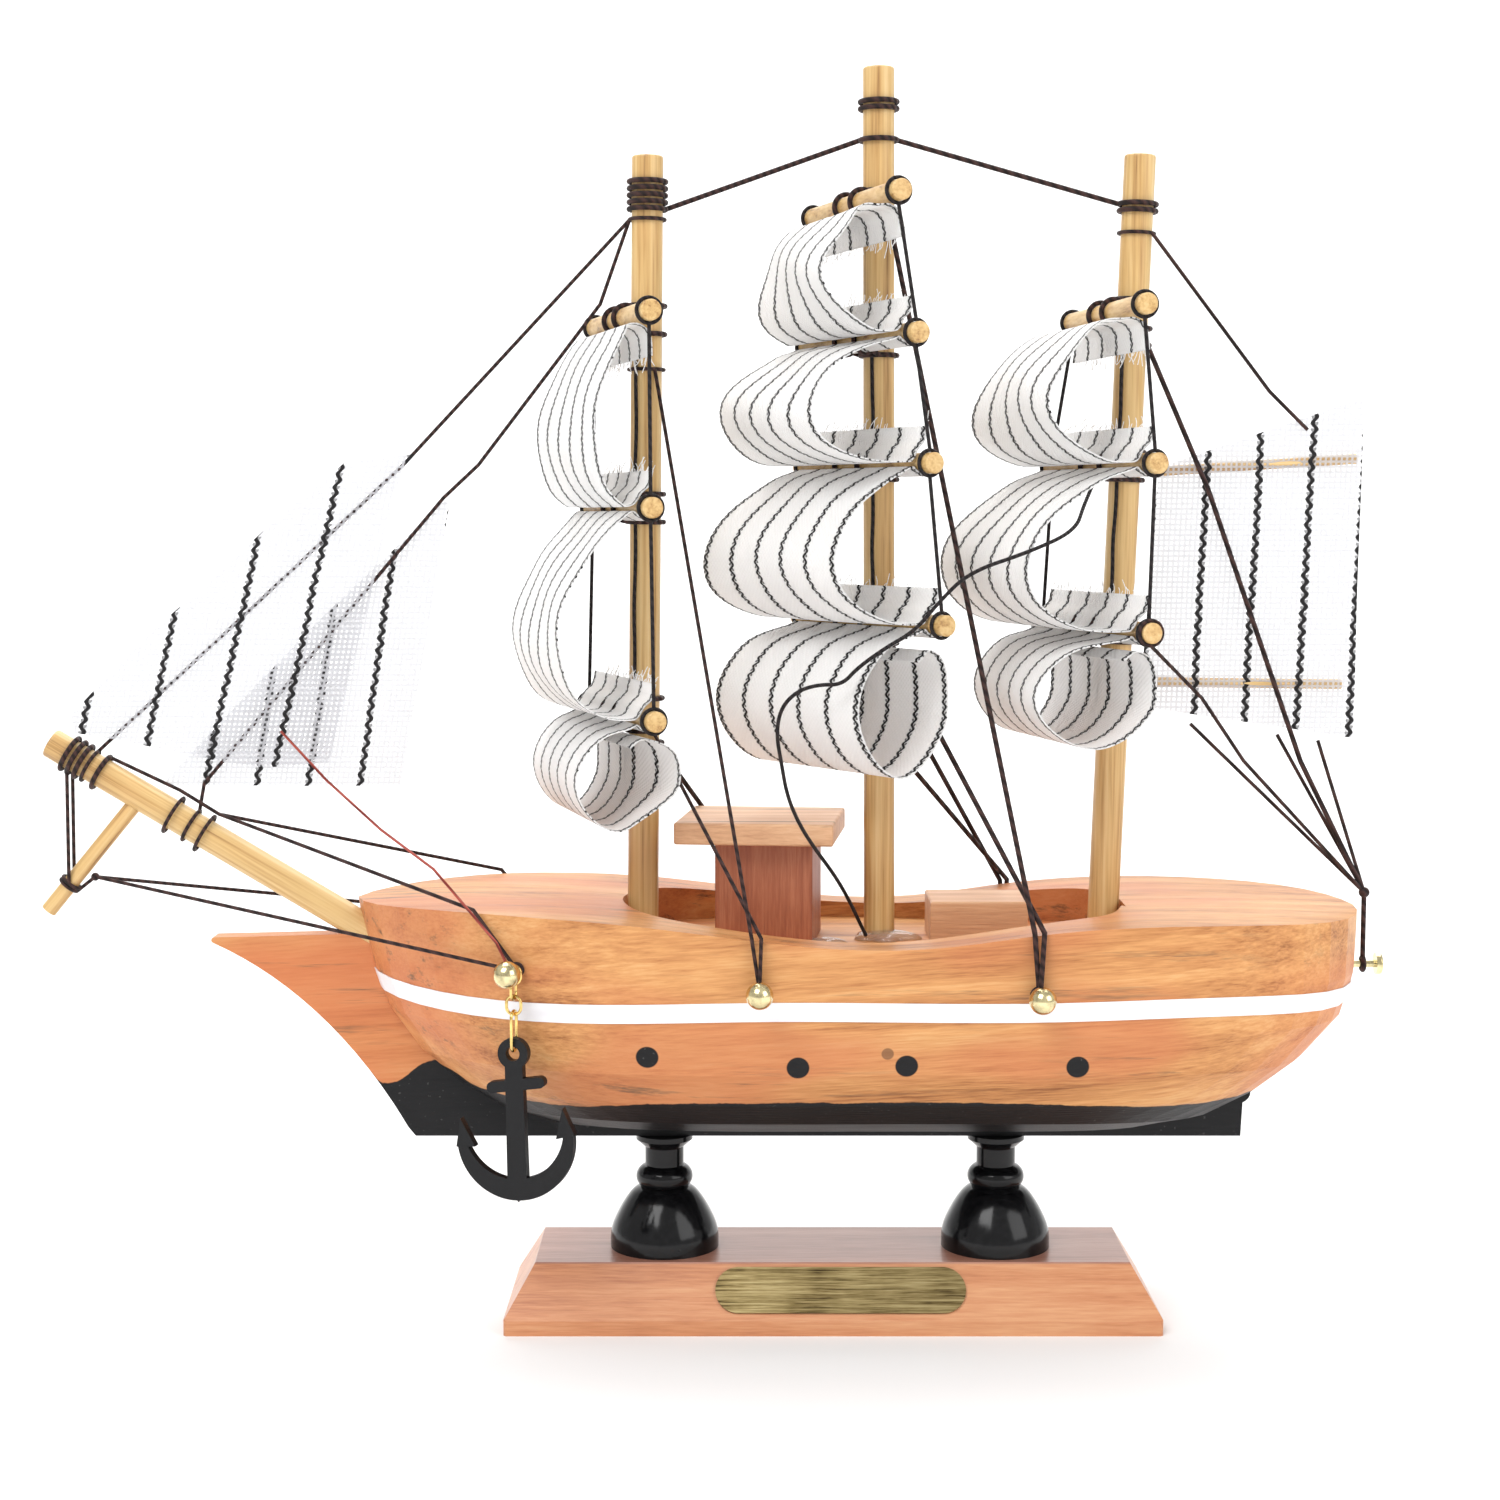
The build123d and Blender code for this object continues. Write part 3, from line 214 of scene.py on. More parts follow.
# ---------------------------------------------------------------- shader helpers
class Shader:
    """A material whose nodes are added and linked in short calls."""

    def __init__(self, name):
        self.material = bpy.data.materials.new(name)
        self.material.use_nodes = True
        self.tree = self.material.node_tree
        self.tree.nodes.clear()
        self.output = self.tree.nodes.new("ShaderNodeOutputMaterial")

    def node(self, kind, inputs=(), **settings):
        made = self.tree.nodes.new("ShaderNode" + kind)
        for key, value in settings.items():
            setattr(made, key, value)
        for key, value in dict(inputs).items():
            self.plug(made.inputs[key], value)
        return made

    def plug(self, socket, value):
        if isinstance(value, bpy.types.NodeSocket):
            self.tree.links.new(value, socket)
        elif hasattr(value, "__len__") and socket.type == "RGBA" and len(value) == 3:
            socket.default_value = (*value, 1.0)
        else:
            socket.default_value = value

    def math(self, operation, a, b=0.0, clamp=False):
        made = self.node("Math", operation=operation, use_clamp=clamp)
        self.plug(made.inputs[0], a)
        self.plug(made.inputs[1], b)
        return made.outputs[0]

    def add(self, a, b):
        return self.math("ADD", a, b)

    def minus(self, a, b):
        return self.math("SUBTRACT", a, b)

    def times(self, a, b):
        return self.math("MULTIPLY", a, b)

    def most(self, a, b, clamp=False):
        return self.math("MAXIMUM", a, b, clamp)

    def size(self, a):
        return self.math("ABSOLUTE", a)

    def wave(self, value, pitch):
        return self.math("SINE", self.times(value, TURN / pitch))

    def place(self, stretch=(1.0, 1.0, 1.0), turn=(0.0, 0.0, 0.0)):
        """Position in the row frame, in millimetres times the stretch."""
        coords = self.node("TexCoord").outputs["Object"]
        if any(turn):
            coords = self.node("Mapping", {"Vector": coords, "Rotation": turn}).outputs[0]
        scale = tuple(k / MM for k in stretch)
        return self.node("Mapping", {"Vector": coords, "Scale": scale}).outputs[0]

    def axes(self):
        """X, Y and Z in millimetres."""
        return self.node("SeparateXYZ", {"Vector": self.place()}).outputs

    def noise(self, vector, scale, detail=3.0, rough=0.5):
        settings = {"Vector": vector, "Scale": scale, "Detail": detail, "Roughness": rough}
        return self.node("TexNoise", settings).outputs["Fac"]

    def ramp(self, value, stops):
        made = self.node("ValToRGB", {"Fac": value})
        points = made.color_ramp.elements
        while len(points) < len(stops):
            points.new(0.5)
        for point, (position, color) in zip(points, stops):
            point.position = position
            point.color = (*color, 1.0)
        return made.outputs[0]

    def mix(self, factor, a, b):
        made = self.node("Mix", data_type="RGBA")
        self.plug(made.inputs[0], factor)
        self.plug(made.inputs[6], a)
        self.plug(made.inputs[7], b)
        return made.outputs[2]

    def blend(self, factor, a, b):
        """Shader between two shaders."""
        made = self.node("MixShader", {"Fac": factor})
        self.tree.links.new(a.outputs[0], made.inputs[1])
        self.tree.links.new(b.outputs[0], made.inputs[2])
        return made

    def step(self, value, start, end):
        """0 before start, 1 after end, smooth between."""
        limits = {"Value": value, "From Min": start, "From Max": end}
        return self.node("MapRange", limits, interpolation_type="SMOOTHSTEP").outputs[0]

    def bump(self, height, distance, strength=1.0, under=None):
        made = self.node("Bump", {"Height": height, "Distance": distance * MM, "Strength": strength})
        if under is not None:
            self.plug(made.inputs["Normal"], under)
        return made.outputs[0]

    def show(self, shader):
        self.tree.links.new(shader.outputs[0], self.output.inputs[0])
        return self.material

    def finish(self, color, rough, normal=None, **more):
        shader = self.node("BsdfPrincipled", {"Base Color": color, "Roughness": rough})
        if normal is not None:
            self.plug(shader.inputs["Normal"], normal)
        for key, value in more.items():
            self.plug(shader.inputs[key.replace("_", " ")], value)
        return self.show(shader)


# ---------------------------------------------------------------- wood
def drawn_out(along, share):
    """Stretch that draws a pattern out along one axis."""
    return tuple(share if axis == along else 1.0 for axis in "XYZ")


def grain(s, along, turn=(0.0, 0.0, 0.0)):
    """Grain value, drawn out along one axis, and the finer fibres in it."""
    vector = s.place(drawn_out(along, 0.06), turn)
    broad = s.noise(vector, 0.35, 4.0, 0.55)
    fibres = s.noise(vector, 3.15, 3.0, 0.65)
    return s.add(s.times(broad, 0.6), s.times(fibres, 0.4)), fibres


def bottom_paint(s, x, z):
    """1 below the hand painted edge of the black bottom."""
    share = s.math("DIVIDE", s.minus(x, EDGE_START), EDGE_SPAN)
    curve = s.node("FloatCurve", {"Factor": 1.0, "Value": share})
    points = curve.mapping.curves[0].points
    for _ in BOTTOM_EDGE[2:]:
        points.new(0.5, 0.5)
    for point, (at_x, at_z) in zip(points, BOTTOM_EDGE):
        point.location = ((at_x - EDGE_START) / EDGE_SPAN, (at_z - EDGE_LOW) / EDGE_RISE)
    curve.mapping.update()
    edge = s.add(s.times(curve.outputs[0], EDGE_RISE), EDGE_LOW)
    wobble = s.times(s.minus(s.noise(s.place(), 0.35, 4.0, 0.6), 0.5), 0.7)
    return s.step(s.minus(s.add(edge, wobble), z), -PAINT_BLUR, PAINT_BLUR)


def spots(s, x, z, centers, radius):
    """1 inside round spots of paint on either side of the hull."""
    total = 0.0
    for center_x, center_z in centers:
        dx, dz = s.minus(x, center_x), s.minus(z, center_z)
        away = s.math("SQRT", s.add(s.times(dx, dx), s.times(dz, dz)))
        total = s.most(total, s.step(away, radius + PAINT_BLUR, radius - PAINT_BLUR))
    return total


def hull_wood():
    """Orange wood with red ends and dark streaks, a black bottom, black portholes and one knot."""
    s = Shader("hull_wood")
    x, y, z = s.axes()
    value, fibres = grain(s, "X", (0.0, math.radians(HULL_GRAIN_SLOPE), 0.0))
    wood = s.ramp(value, HULL_TONES)
    blush = s.step(s.noise(s.place((0.5, 1.0, 1.0)), 0.06, 2.0), 0.44, 0.62)
    wood = s.mix(s.times(blush, 0.6), wood, HULL_BLUSH)
    ends = s.most(s.step(x, *RED_BOW), s.step(x, *RED_STERN))
    low = s.step(z, *RED_BELOW)
    wood = s.mix(s.times(s.times(ends, low), 0.5), wood, HULL_RED)
    streak = s.step(s.noise(s.place((0.05, 1.0, 1.0)), 0.5, 5.0, 0.75), 0.55, 0.70)
    cloud = s.step(s.noise(s.place((0.4, 1.0, 1.0)), 0.07, 2.0), 0.42, 0.60)
    wood = s.mix(s.times(s.times(streak, cloud), 0.85), wood, HULL_STREAK)
    side = s.step(s.size(y), *PORTHOLE_SIDES)
    ports = s.times(spots(s, x, z, PORTHOLES, PORTHOLE_RADIUS), side)
    knot = s.times(spots(s, x, z, [KNOT], KNOT_RADIUS), side)
    black = s.most(bottom_paint(s, x, z), ports)
    wood = s.mix(s.times(knot, 0.7), wood, KNOT_BROWN)
    color = s.mix(black, wood, BLACK_PAINT)
    speck = s.step(s.noise(s.place(), 2.2, 2.0, 0.4), 0.70, 0.74)
    color = s.mix(s.times(s.times(speck, black), 0.12), color, PAINT_SPECK)
    rough = s.add(s.times(black, 0.05), 0.42)
    normal = s.bump(fibres, 0.10, 0.5)
    normal = s.bump(s.noise(s.place((0.3, 1.0, 1.0)), 0.25, 2.0), 0.5, 0.35, normal)
    return s.finish(color, rough, normal, Specular_IOR_Level=0.3)


def plain_wood(name, tones, along, dark=None):
    """Bare wood, with dark streaks where a colour for them is given."""
    s = Shader(name)
    value, fibres = grain(s, along)
    color = s.ramp(value, tones)
    if dark is not None:
        lines = s.step(s.noise(s.place(drawn_out(along, 0.045)), 0.42, 4.0, 0.6), 0.57, 0.66)
        color = s.mix(s.times(lines, 0.75), color, dark)
    return s.finish(color, 0.5, s.bump(fibres, 0.09, 0.55))


def stand_wood():
    """Reddish wood: darker pinkish top, orange slopes, clear varnish."""
    s = Shader("stand_wood")
    value, fibres = grain(s, "X")
    on_top = s.step(s.axes()[2], *BOARD_TOP)
    color = s.mix(on_top, s.ramp(value, SLOPE_TONES), s.ramp(value, BOARD_TOP_TONES))
    return s.finish(color, 0.34, s.bump(fibres, 0.06, 0.4), Coat_Weight=0.2, Coat_Roughness=0.15)


def bamboo(name, along, lean=0.0):
    """Pale bamboo: straight fibres, a few darker streaks. lean turns them about Y, in degrees."""
    s = Shader(name)
    vector = s.place(drawn_out(along, 0.022), (0.0, math.radians(lean), 0.0))
    fibres = s.noise(vector, 2.6, 3.0, 0.6)
    tone = s.noise(vector, 0.9, 2.0, 0.5)
    color = s.ramp(s.add(s.times(fibres, 0.5), s.times(tone, 0.5)), BAMBOO_TONES)
    patch = s.step(s.noise(s.place(), 0.09, 2.0), 0.5, 0.68)
    color = s.mix(s.times(patch, 0.35), color, BAMBOO_PATCH)
    return s.finish(color, 0.42, s.bump(fibres, 0.10, 0.5), Coat_Weight=0.1, Coat_Roughness=0.3)


# ---------------------------------------------------------------- metal, paint, thread, glue
def black_lacquer():
    s = Shader("black_lacquer")
    dust = s.noise(s.place(), 1.4, 4.0, 0.6)
    rough = s.add(s.times(dust, 0.14), 0.08)
    return s.finish(s.ramp(dust, LACQUER_TONES), rough, s.bump(dust, 0.02, 0.3), Specular_IOR_Level=0.3)


def brass(name, tone, rough):
    """Polished brass with duller stains."""
    s = Shader(name)
    stain = s.noise(s.place(), 0.8, 4.0, 0.6)
    color = s.ramp(stain, [(0.35, tuple(c * 0.55 for c in tone)), (0.6, tone)])
    return s.finish(color, s.add(s.times(stain, 0.15), rough), s.bump(stain, 0.03, 0.4), Metallic=1.0)


def plate_brass():
    """Brushed plate: streaks along its length and darker patches."""
    s = Shader("plate_brass")
    streaks = s.noise(s.place((0.04, 1.5, 1.5)), 2.4, 4.0, 0.75)
    patch = s.noise(s.place(), 0.16, 3.0)
    color = s.ramp(s.add(s.times(streaks, 0.75), s.times(patch, 0.25)), PLATE_TONES)
    return s.finish(color, 0.32, s.bump(streaks, 0.03, 0.5), Metallic=1.0)


def matte_black():
    s = Shader("anchor_paint")
    worn = s.step(s.noise(s.place(), 0.7, 4.0, 0.7), 0.66, 0.78)
    color = s.mix(s.times(worn, 0.25), ANCHOR_BLACK, ANCHOR_WORN)
    grit = s.noise(s.place(), 3.0, 3.0)
    return s.finish(color, 0.45, s.bump(grit, 0.05, 0.5), Specular_IOR_Level=0.3)


def tape():
    s = Shader("white_tape")
    crease_height_and_shade = s.noise(s.place((0.2, 0.2, 1.0)), 0.5, 3.0)
    # The tape is darker in its creases: painted shade, on top of the bumped relief.
    return s.finish(s.ramp(crease_height_and_shade, TAPE_TONES), 0.38, s.bump(crease_height_and_shade, 0.05, 0.4))


def thread(name, dark, light, pitch=1.1):
    """Twisted thread: slanting plies with painted shade in the grooves between them, and loose fibres."""
    s = Shader(name)
    x, y, z = s.axes()
    slant = s.add(s.add(x, s.times(y, 0.7)), s.times(z, 0.8))
    ply_height_and_shade = s.add(s.times(s.wave(slant, pitch), 0.5), 0.5)
    fuzz = s.noise(s.place(), 4.0, 3.0, 0.7)
    # Dark in the grooves between the plies, which is painted shade, light on the plies; the fuzz adds random
    # tone.
    color = s.mix(s.times(ply_height_and_shade, s.add(fuzz, 0.2)), dark, light)
    normal = s.bump(fuzz, 0.05, 0.5, s.bump(ply_height_and_shade, 0.12, 0.8))
    return s.finish(color, 0.75, normal, Sheen_Weight=0.08, Sheen_Roughness=0.5, Specular_IOR_Level=0.3)


def white_fibre():
    """Single white threads."""
    s = Shader("white_fibre")
    tone = s.noise(s.place(), 3.0, 2.0)
    return s.finish(s.ramp(tone, FIBRE_TONES), 0.8, s.bump(tone, 0.02, 0.4))


def clear_glue():
    """Clear hardened glue, faintly yellow."""
    s = Shader("clear_glue")
    cloudy = s.noise(s.place(), 0.8, 3.0)
    rough = s.add(s.times(cloudy, 0.1), 0.03)
    return s.finish(s.ramp(cloudy, GLUE_TONES), rough, s.bump(cloudy, 0.15, 0.4),
                    Transmission_Weight=0.85, IOR=1.45)


# ---------------------------------------------------------------- cloth
def ribbon(name, stripe_at, spacing, stripe_shape, ground, opacity=1.0):
    """Striped cloth. u runs across it and v along it, in millimetres, from its UV map.
    Each stripe is two black threads that cross over and under like a chain.
    An opacity below 1 opens holes between the threads of the weave."""
    s = Shader(name)
    width, wander, pitch = stripe_shape
    split = s.node("SeparateXYZ", {"Vector": s.node("UVMap").outputs[0]})
    u, v = s.times(split.outputs[0], UV_SPAN), s.times(split.outputs[1], UV_SPAN)
    place = s.place()
    wobble = s.times(s.minus(s.noise(place, 0.25, 3.0), 0.5), 0.5)
    shifted = s.add(s.minus(u, stripe_at), wobble)
    cell = s.minus(s.math("FLOORED_MODULO", s.add(shifted, spacing / 2), spacing), spacing / 2)
    swing = s.times(s.wave(v, pitch), wander)
    line_a = s.step(s.size(s.minus(cell, swing)), width, width * 0.7)
    line_b = s.step(s.size(s.add(cell, swing)), width * 0.8, width * 0.5)
    gaps = s.step(s.wave(v, pitch / 2), -0.9, -0.6)
    stripe = s.most(line_a, s.times(s.times(line_b, gaps), 0.8))
    across, down = s.wave(u, WEAVE_PITCH), s.wave(v, WEAVE_PITCH)
    cloth = s.add(s.times(s.times(across, down), 0.5), 0.5)
    tone = s.noise(place, 0.12, 3.0)
    base = s.mix(s.times(tone, 0.8), ground, tuple(c * 0.95 for c in ground))
    # The weave's darker checker cells are painted shade between its threads.
    base = s.mix(s.times(cloth, 0.12), base, tuple(c * 0.62 for c in ground))
    color = s.mix(stripe, base, STRIPE_BLACK)
    normal = s.bump(s.add(cloth, s.times(stripe, 1.5)), 0.10, 0.6)
    surface = {"Base Color": color, "Roughness": 0.85, "Normal": normal, "Sheen Weight": 0.2}
    facing = s.node("BsdfPrincipled", surface)
    lit = s.node("BsdfTranslucent", {"Color": color, "Normal": normal})
    both = s.blend(TRANSLUCENCE, facing, lit)
    if opacity >= 1.0:
        return s.show(both)
    holes = s.times(s.step(across, 0.55, -0.25), s.step(down, 0.55, -0.25))
    cover = s.add(s.times(s.minus(1.0, holes), opacity), 0.05)
    return s.show(s.blend(s.most(cover, stripe, clamp=True), s.node("BsdfTransparent"), both))


# ---------------------------------------------------------------- meshes and curves
def add_object(name, data, material):
    """Object in the row frame that rides on the ship."""
    data.materials.append(material)
    obj = bpy.data.objects.new(name, data)
    bpy.context.collection.objects.link(obj)
    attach(obj, "ship")
    return obj


def add_curve(name, thick, roundness):
    curve = bpy.data.curves.new(name, "CURVE")
    curve.dimensions = "3D"
    curve.bevel_depth = thick / 2 * MM
    curve.bevel_resolution = roundness
    return curve


def add_spline(curve, points):
    """Smooth line with these control points, in metres."""
    spline = curve.splines.new("NURBS")
    spline.points.add(len(points) - 1)
    for control, point in zip(spline.points, points):
        control.co = (*point, 1.0)
    spline.order_u = 3
    spline.use_endpoint_u = True


def catmull(points):
    """Smooth line through points in a plane."""
    ends = [points[0] * 2 - points[1]] + points + [points[-1] * 2 - points[-2]]
    line = []
    for a, b, c, d in zip(ends, ends[1:], ends[2:], ends[3:]):
        for i in range(LINE_STEPS):
            t = i / LINE_STEPS
            square, cube = 2 * a - 5 * b + 4 * c - d, 3 * b - a - 3 * c + d
            line.append(0.5 * ((2 * b) + (c - a) * t + square * t * t + cube * t ** 3))
    line.append(points[-1])
    return line


def lengths_along(line):
    """Distance from the line's start to each of its points."""
    lengths = [0.0]
    for a, b in zip(line, line[1:]):
        lengths.append(lengths[-1] + (b - a).length)
    return lengths


def yard_axes(node):
    """Middle of a yard, its direction to starboard and its forward direction, in millimetres."""
    points = [Vector(v.co) / MM for v in nodes[node].data.vertices]
    mean = sum(points, Vector()) / len(points)
    starboard = [p for p in points if p.y > mean.y]
    along = sum(starboard, Vector()) / len(starboard) - mean
    along.z = 0.0
    along.normalize()
    low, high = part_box(node)
    return (Vector(low) + Vector(high)) / (2 * MM), along, Vector((-along.y, along.x, 0.0))


def sail_columns(near, far):
    """Place across the ribbon and depth of its belly, for each column of its mesh."""
    for column in range(SAIL_COLUMNS):
        share = column / (SAIL_COLUMNS - 1)
        yield (share - 0.5) * RIBBON_WIDTH, near + (far - near) * share


def ribbon_mesh(name, rows, uvs, material):
    """Ribbon that stands for a CAD sail, made from rows of points. Returns it and its length in metres."""
    mesh = bpy.data.meshes.new("ribbon_" + name)
    count = len(rows[0])
    faces = [(r * count + c, r * count + c + 1, (r + 1) * count + c + 1, (r + 1) * count + c)
             for r in range(len(rows) - 1) for c in range(count - 1)]
    mesh.from_pydata([tuple(point) for row in rows for point in row], [], faces)
    layer = mesh.uv_layers.new(name="UVMap")
    flat = [uv for row in uvs for uv in row]
    for loop in mesh.loops:
        layer.data[loop.index].uv = flat[loop.vertex_index]
    mesh.shade_smooth()
    obj = add_object("ribbon_" + name, mesh, material)
    solid = obj.modifiers.new("thickness", "SOLIDIFY")
    solid.thickness = CLOTH_THICK * MM
    solid.offset = 0.0
    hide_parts(name)
    return obj, round(lengths_along(rows[SAIL_COLUMNS // 2])[-1], 4)


def fray(name, edge, outward, material, seed):
    """Loose threads along a cut edge: short bent hairs."""
    rng = random.Random(seed)
    curve = add_curve(name, HAIR_THICK, 1)
    curve.resolution_u = 4
    for point in edge:
        if rng.random() < HAIRS_LEFT_OUT:
            continue
        reach = rng.uniform(*HAIR_REACH)
        side = Vector((rng.uniform(-0.5, 0.5), rng.uniform(-0.5, 0.5), rng.uniform(-0.4, 0.4)))
        bends = [outward * reach * t + side * reach * t * t for t in (0.0, 1 / 3, 2 / 3, 1.0)]
        add_spline(curve, [Vector(point) + bend * MM for bend in bends])
    return add_object(name, curve, material)


def square_sail(name, upper, lower, near, far, cloth, hair, seed):
    """Ribbon that runs from its upper yard, out in a belly, to over its lower yard."""
    top, top_along, top_forward = yard_axes(upper)
    low, low_along, low_forward = yard_axes(lower)
    height = top.z - low.z
    hangs_free = upper in TOP_YARDS
    start = FREE_TOP if hangs_free else TUCKED_TOP
    rng = random.Random(seed)
    waves = [(rng.uniform(-0.25, 0.25), rng.uniform(1.0, 2.4), rng.uniform(0, 6.28)) for _ in range(3)]
    rows, uvs = [], []
    for across, depth in sail_columns(near, far):
        profile = [(forward_by, height + up) for forward_by, up in start]
        profile += [(share * depth, height * up) for share, up in BELLY]
        line = catmull([Vector(p) for p in profile + TUCKED_FOOT])
        row, uv_row = [], []
        for (forward_by, up), length in zip(line, lengths_along(line)):
            share = min(max(up / height, 0.0), 1.0)
            middle = low.lerp(top, share)
            along = low_along.lerp(top_along, share).normalized()
            forward = low_forward.lerp(top_forward, share).normalized()
            ripple = 0.0
            if forward_by >= RIPPLE_FROM:
                ripple = sum(a * math.sin(k * length * RIPPLE_SPEED + p + RIPPLE_LEAN * across)
                             for a, k, p in waves) * min(forward_by / RIPPLE_FULL, 1.0)
            point = Vector((middle.x, middle.y, low.z + up)) + along * across
            row.append((point + forward * (forward_by + ripple)) * MM)
            uv_row.append(((across + UV_MIDDLE) / UV_SPAN, length / UV_SPAN))
        rows.append(row)
        uvs.append(uv_row)
    obj, length = ribbon_mesh(name, rows, uvs, cloth)
    low_edge, high_edge = [row[-1] for row in rows], [row[0] for row in rows]
    hairs = [fray("fray_low_" + name, low_edge, HAIRS_UP, hair, seed + LOW_FRAY_SEED)]
    if hangs_free:
        hairs.append(fray("fray_high_" + name, high_edge, HAIRS_DOWN, hair, seed + HIGH_FRAY_SEED))


def curled_sail(name, yard, near, far, drop, sag, cloth):
    """Ribbon that hangs from its yard in a closed fold."""
    middle, along, forward = yard_axes(yard)
    rows, uvs = [], []
    for across, depth in sail_columns(near, far):
        back = sag * min(max((-across - SAG_FROM) / SAG_OVER, 0.0), 1.0)
        profile = CURL_TOP + [(share * depth, -down * drop) for share, down in CURL_FRONT]
        profile += [(forward_by - share * back, -down * drop) for forward_by, share, down in CURL_BACK]
        line = catmull([Vector(p) for p in profile])
        rows.append([(middle + along * across + forward * p.x + Vector((0, 0, p.y))) * MM for p in line])
        uvs.append([((across + UV_MIDDLE) / UV_SPAN, length / UV_SPAN) for length in lengths_along(line)])
    obj, length = ribbon_mesh(name, rows, uvs, cloth)


def gauze_sail(name, outline, y, stripe_x, spacing, lean, cut):
    """Stiff open gauze, cut to an outline in x and z and slightly waved. The stripes lean."""
    bm = bmesh.new()
    bm.faces.new([bm.verts.new((x * MM, y * MM, z * MM)) for x, z in outline])
    low_z = min(z for x, z in outline)
    for normal, values in (((1, 0, 0), [x for x, z in outline]), ((0, 0, 1), [z for x, z in outline])):
        low, high = min(values), max(values)
        steps = int((high - low) / GAUZE_MESH)
        for i in range(1, steps):
            at = low + (high - low) * i / steps
            bmesh.ops.bisect_plane(bm, geom=bm.verts[:] + bm.edges[:] + bm.faces[:], dist=1e-7,
                                   plane_co=Vector(normal) * at * MM, plane_no=normal)
    layer = bm.loops.layers.uv.new("UVMap")
    for face in bm.faces:
        for loop in face.loops:
            x, z = loop.vert.co.x / MM, loop.vert.co.z / MM
            u = (x - stripe_x) - (z - low_z) * lean
            loop[layer].uv = ((u + UV_MIDDLE) / UV_SPAN, z / UV_SPAN)
    for vert in bm.verts:
        x, z = vert.co.x / MM, vert.co.z / MM
        vert.co.y += GAUZE_WAVE * math.sin(x * 0.33 + z * 0.21) * MM
    mesh = bpy.data.meshes.new("gauze_" + name)
    bm.to_mesh(mesh)
    bm.free()
    mesh.shade_smooth()
    cloth = ribbon("gauze_" + name, UV_MIDDLE, spacing, GAUZE_STRIPE, GAUZE_GREY, GAUZE_OPACITY)
    obj = add_object("gauze_" + name, mesh, cloth)
    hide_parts(name)


def loose_cord(material):
    curve = add_curve("loose_cord", LOOSE_DIAMETER / MM, 3)
    curve.resolution_u = 10
    curve.use_fill_caps = True
    add_spline(curve, [Vector(point) * MM for point in LOOSE_ROUTE])
    obj = add_object("loose_cord", curve, material)
    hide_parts("loose_thread")


def mast_line(node, aside, low, high, material):
    """Thin black line along the near side of a mast, between two heights, aside of its middle line."""
    points = [Vector(v.co) / MM for v in nodes[node].data.vertices]
    top_z, foot_z = max(p.z for p in points), min(p.z for p in points)
    top_ring = [p for p in points if p.z > top_z - MAST_RING]
    foot_ring = [p for p in points if p.z < foot_z + MAST_RING]
    ends = []
    for ring in (top_ring, foot_ring):
        ends.append(Vector(((max(p.x for p in ring) + min(p.x for p in ring)) / 2,
                            (max(p.y for p in ring) + min(p.y for p in ring)) / 2, ring[0].z)))
    top, foot = ends
    reach = MAST_RADIUS + MAST_LINE_THICK / 2 - MAST_LINE_SINK
    out = Vector((aside, -math.sqrt(reach ** 2 - aside ** 2), 0.0))
    line = []
    for i in range(MAST_LINE_STEPS + 1):
        height = low + (high - low) * i / MAST_LINE_STEPS
        place = foot.lerp(top, (height - foot.z) / (top.z - foot.z)) + out
        place.x += MAST_LINE_SWAY * math.sin(i * 2.3)
        line.append(place * MM)
    curve = add_curve("mast_line_" + node, MAST_LINE_THICK, 3)
    curve.use_fill_caps = True
    add_spline(curve, line)
    obj = add_object("mast_line_" + node, curve, material)


def glue_drop(name, place, size, material, seed):
    """Flat irregular drop of glue that sits on the deck."""
    rng = random.Random(seed)
    bm = bmesh.new()
    bmesh.ops.create_icosphere(bm, subdivisions=3, radius=1.0)
    lobes = [(rng.uniform(0.10, 0.22), rng.randint(2, 5), rng.uniform(0, 6.28)) for _ in range(3)]
    for vert in bm.verts:
        around = math.atan2(vert.co.y, vert.co.x)
        swell = 1.0 + sum(a * math.sin(k * around + p) for a, k, p in lobes)
        vert.co = Vector((place[0] + vert.co.x * size[0] * swell, place[1] + vert.co.y * size[1] * swell,
                          place[2] + max(vert.co.z, -0.05) * size[2])) * MM
    mesh = bpy.data.meshes.new(name)
    bm.to_mesh(mesh)
    bm.free()
    mesh.shade_smooth()
    add_object(name, mesh, material)


def dress(material, *names):
    """Gives CAD nodes a material."""
    for name in names:
        for material_slot in nodes[name].material_slots:
            material_slot.material = material


# ---------------------------------------------------------------- camera, light and floor
def add_camera():
    data = bpy.data.cameras.new("camera")
    data.sensor_width = SENSOR
    data.lens = LENS
    data.clip_start, data.clip_end = 0.01, 10.0
    camera = bpy.data.objects.new("camera", data)
    camera.location = CAMERA_PLACE
    camera.rotation_euler = (math.radians(90 - CAMERA_DIP), 0.0, 0.0)
    bpy.context.collection.objects.link(camera)
    bpy.context.scene.camera = camera


def add_light(name, place, target, size, power):
    data = bpy.data.lights.new(name, "AREA")
    data.size, data.energy = size, power
    light = bpy.data.objects.new(name, data)
    light.location = place
    light.rotation_euler = (Vector(target) - Vector(place)).to_track_quat("-Z", "Y").to_euler()
    bpy.context.collection.objects.link(light)


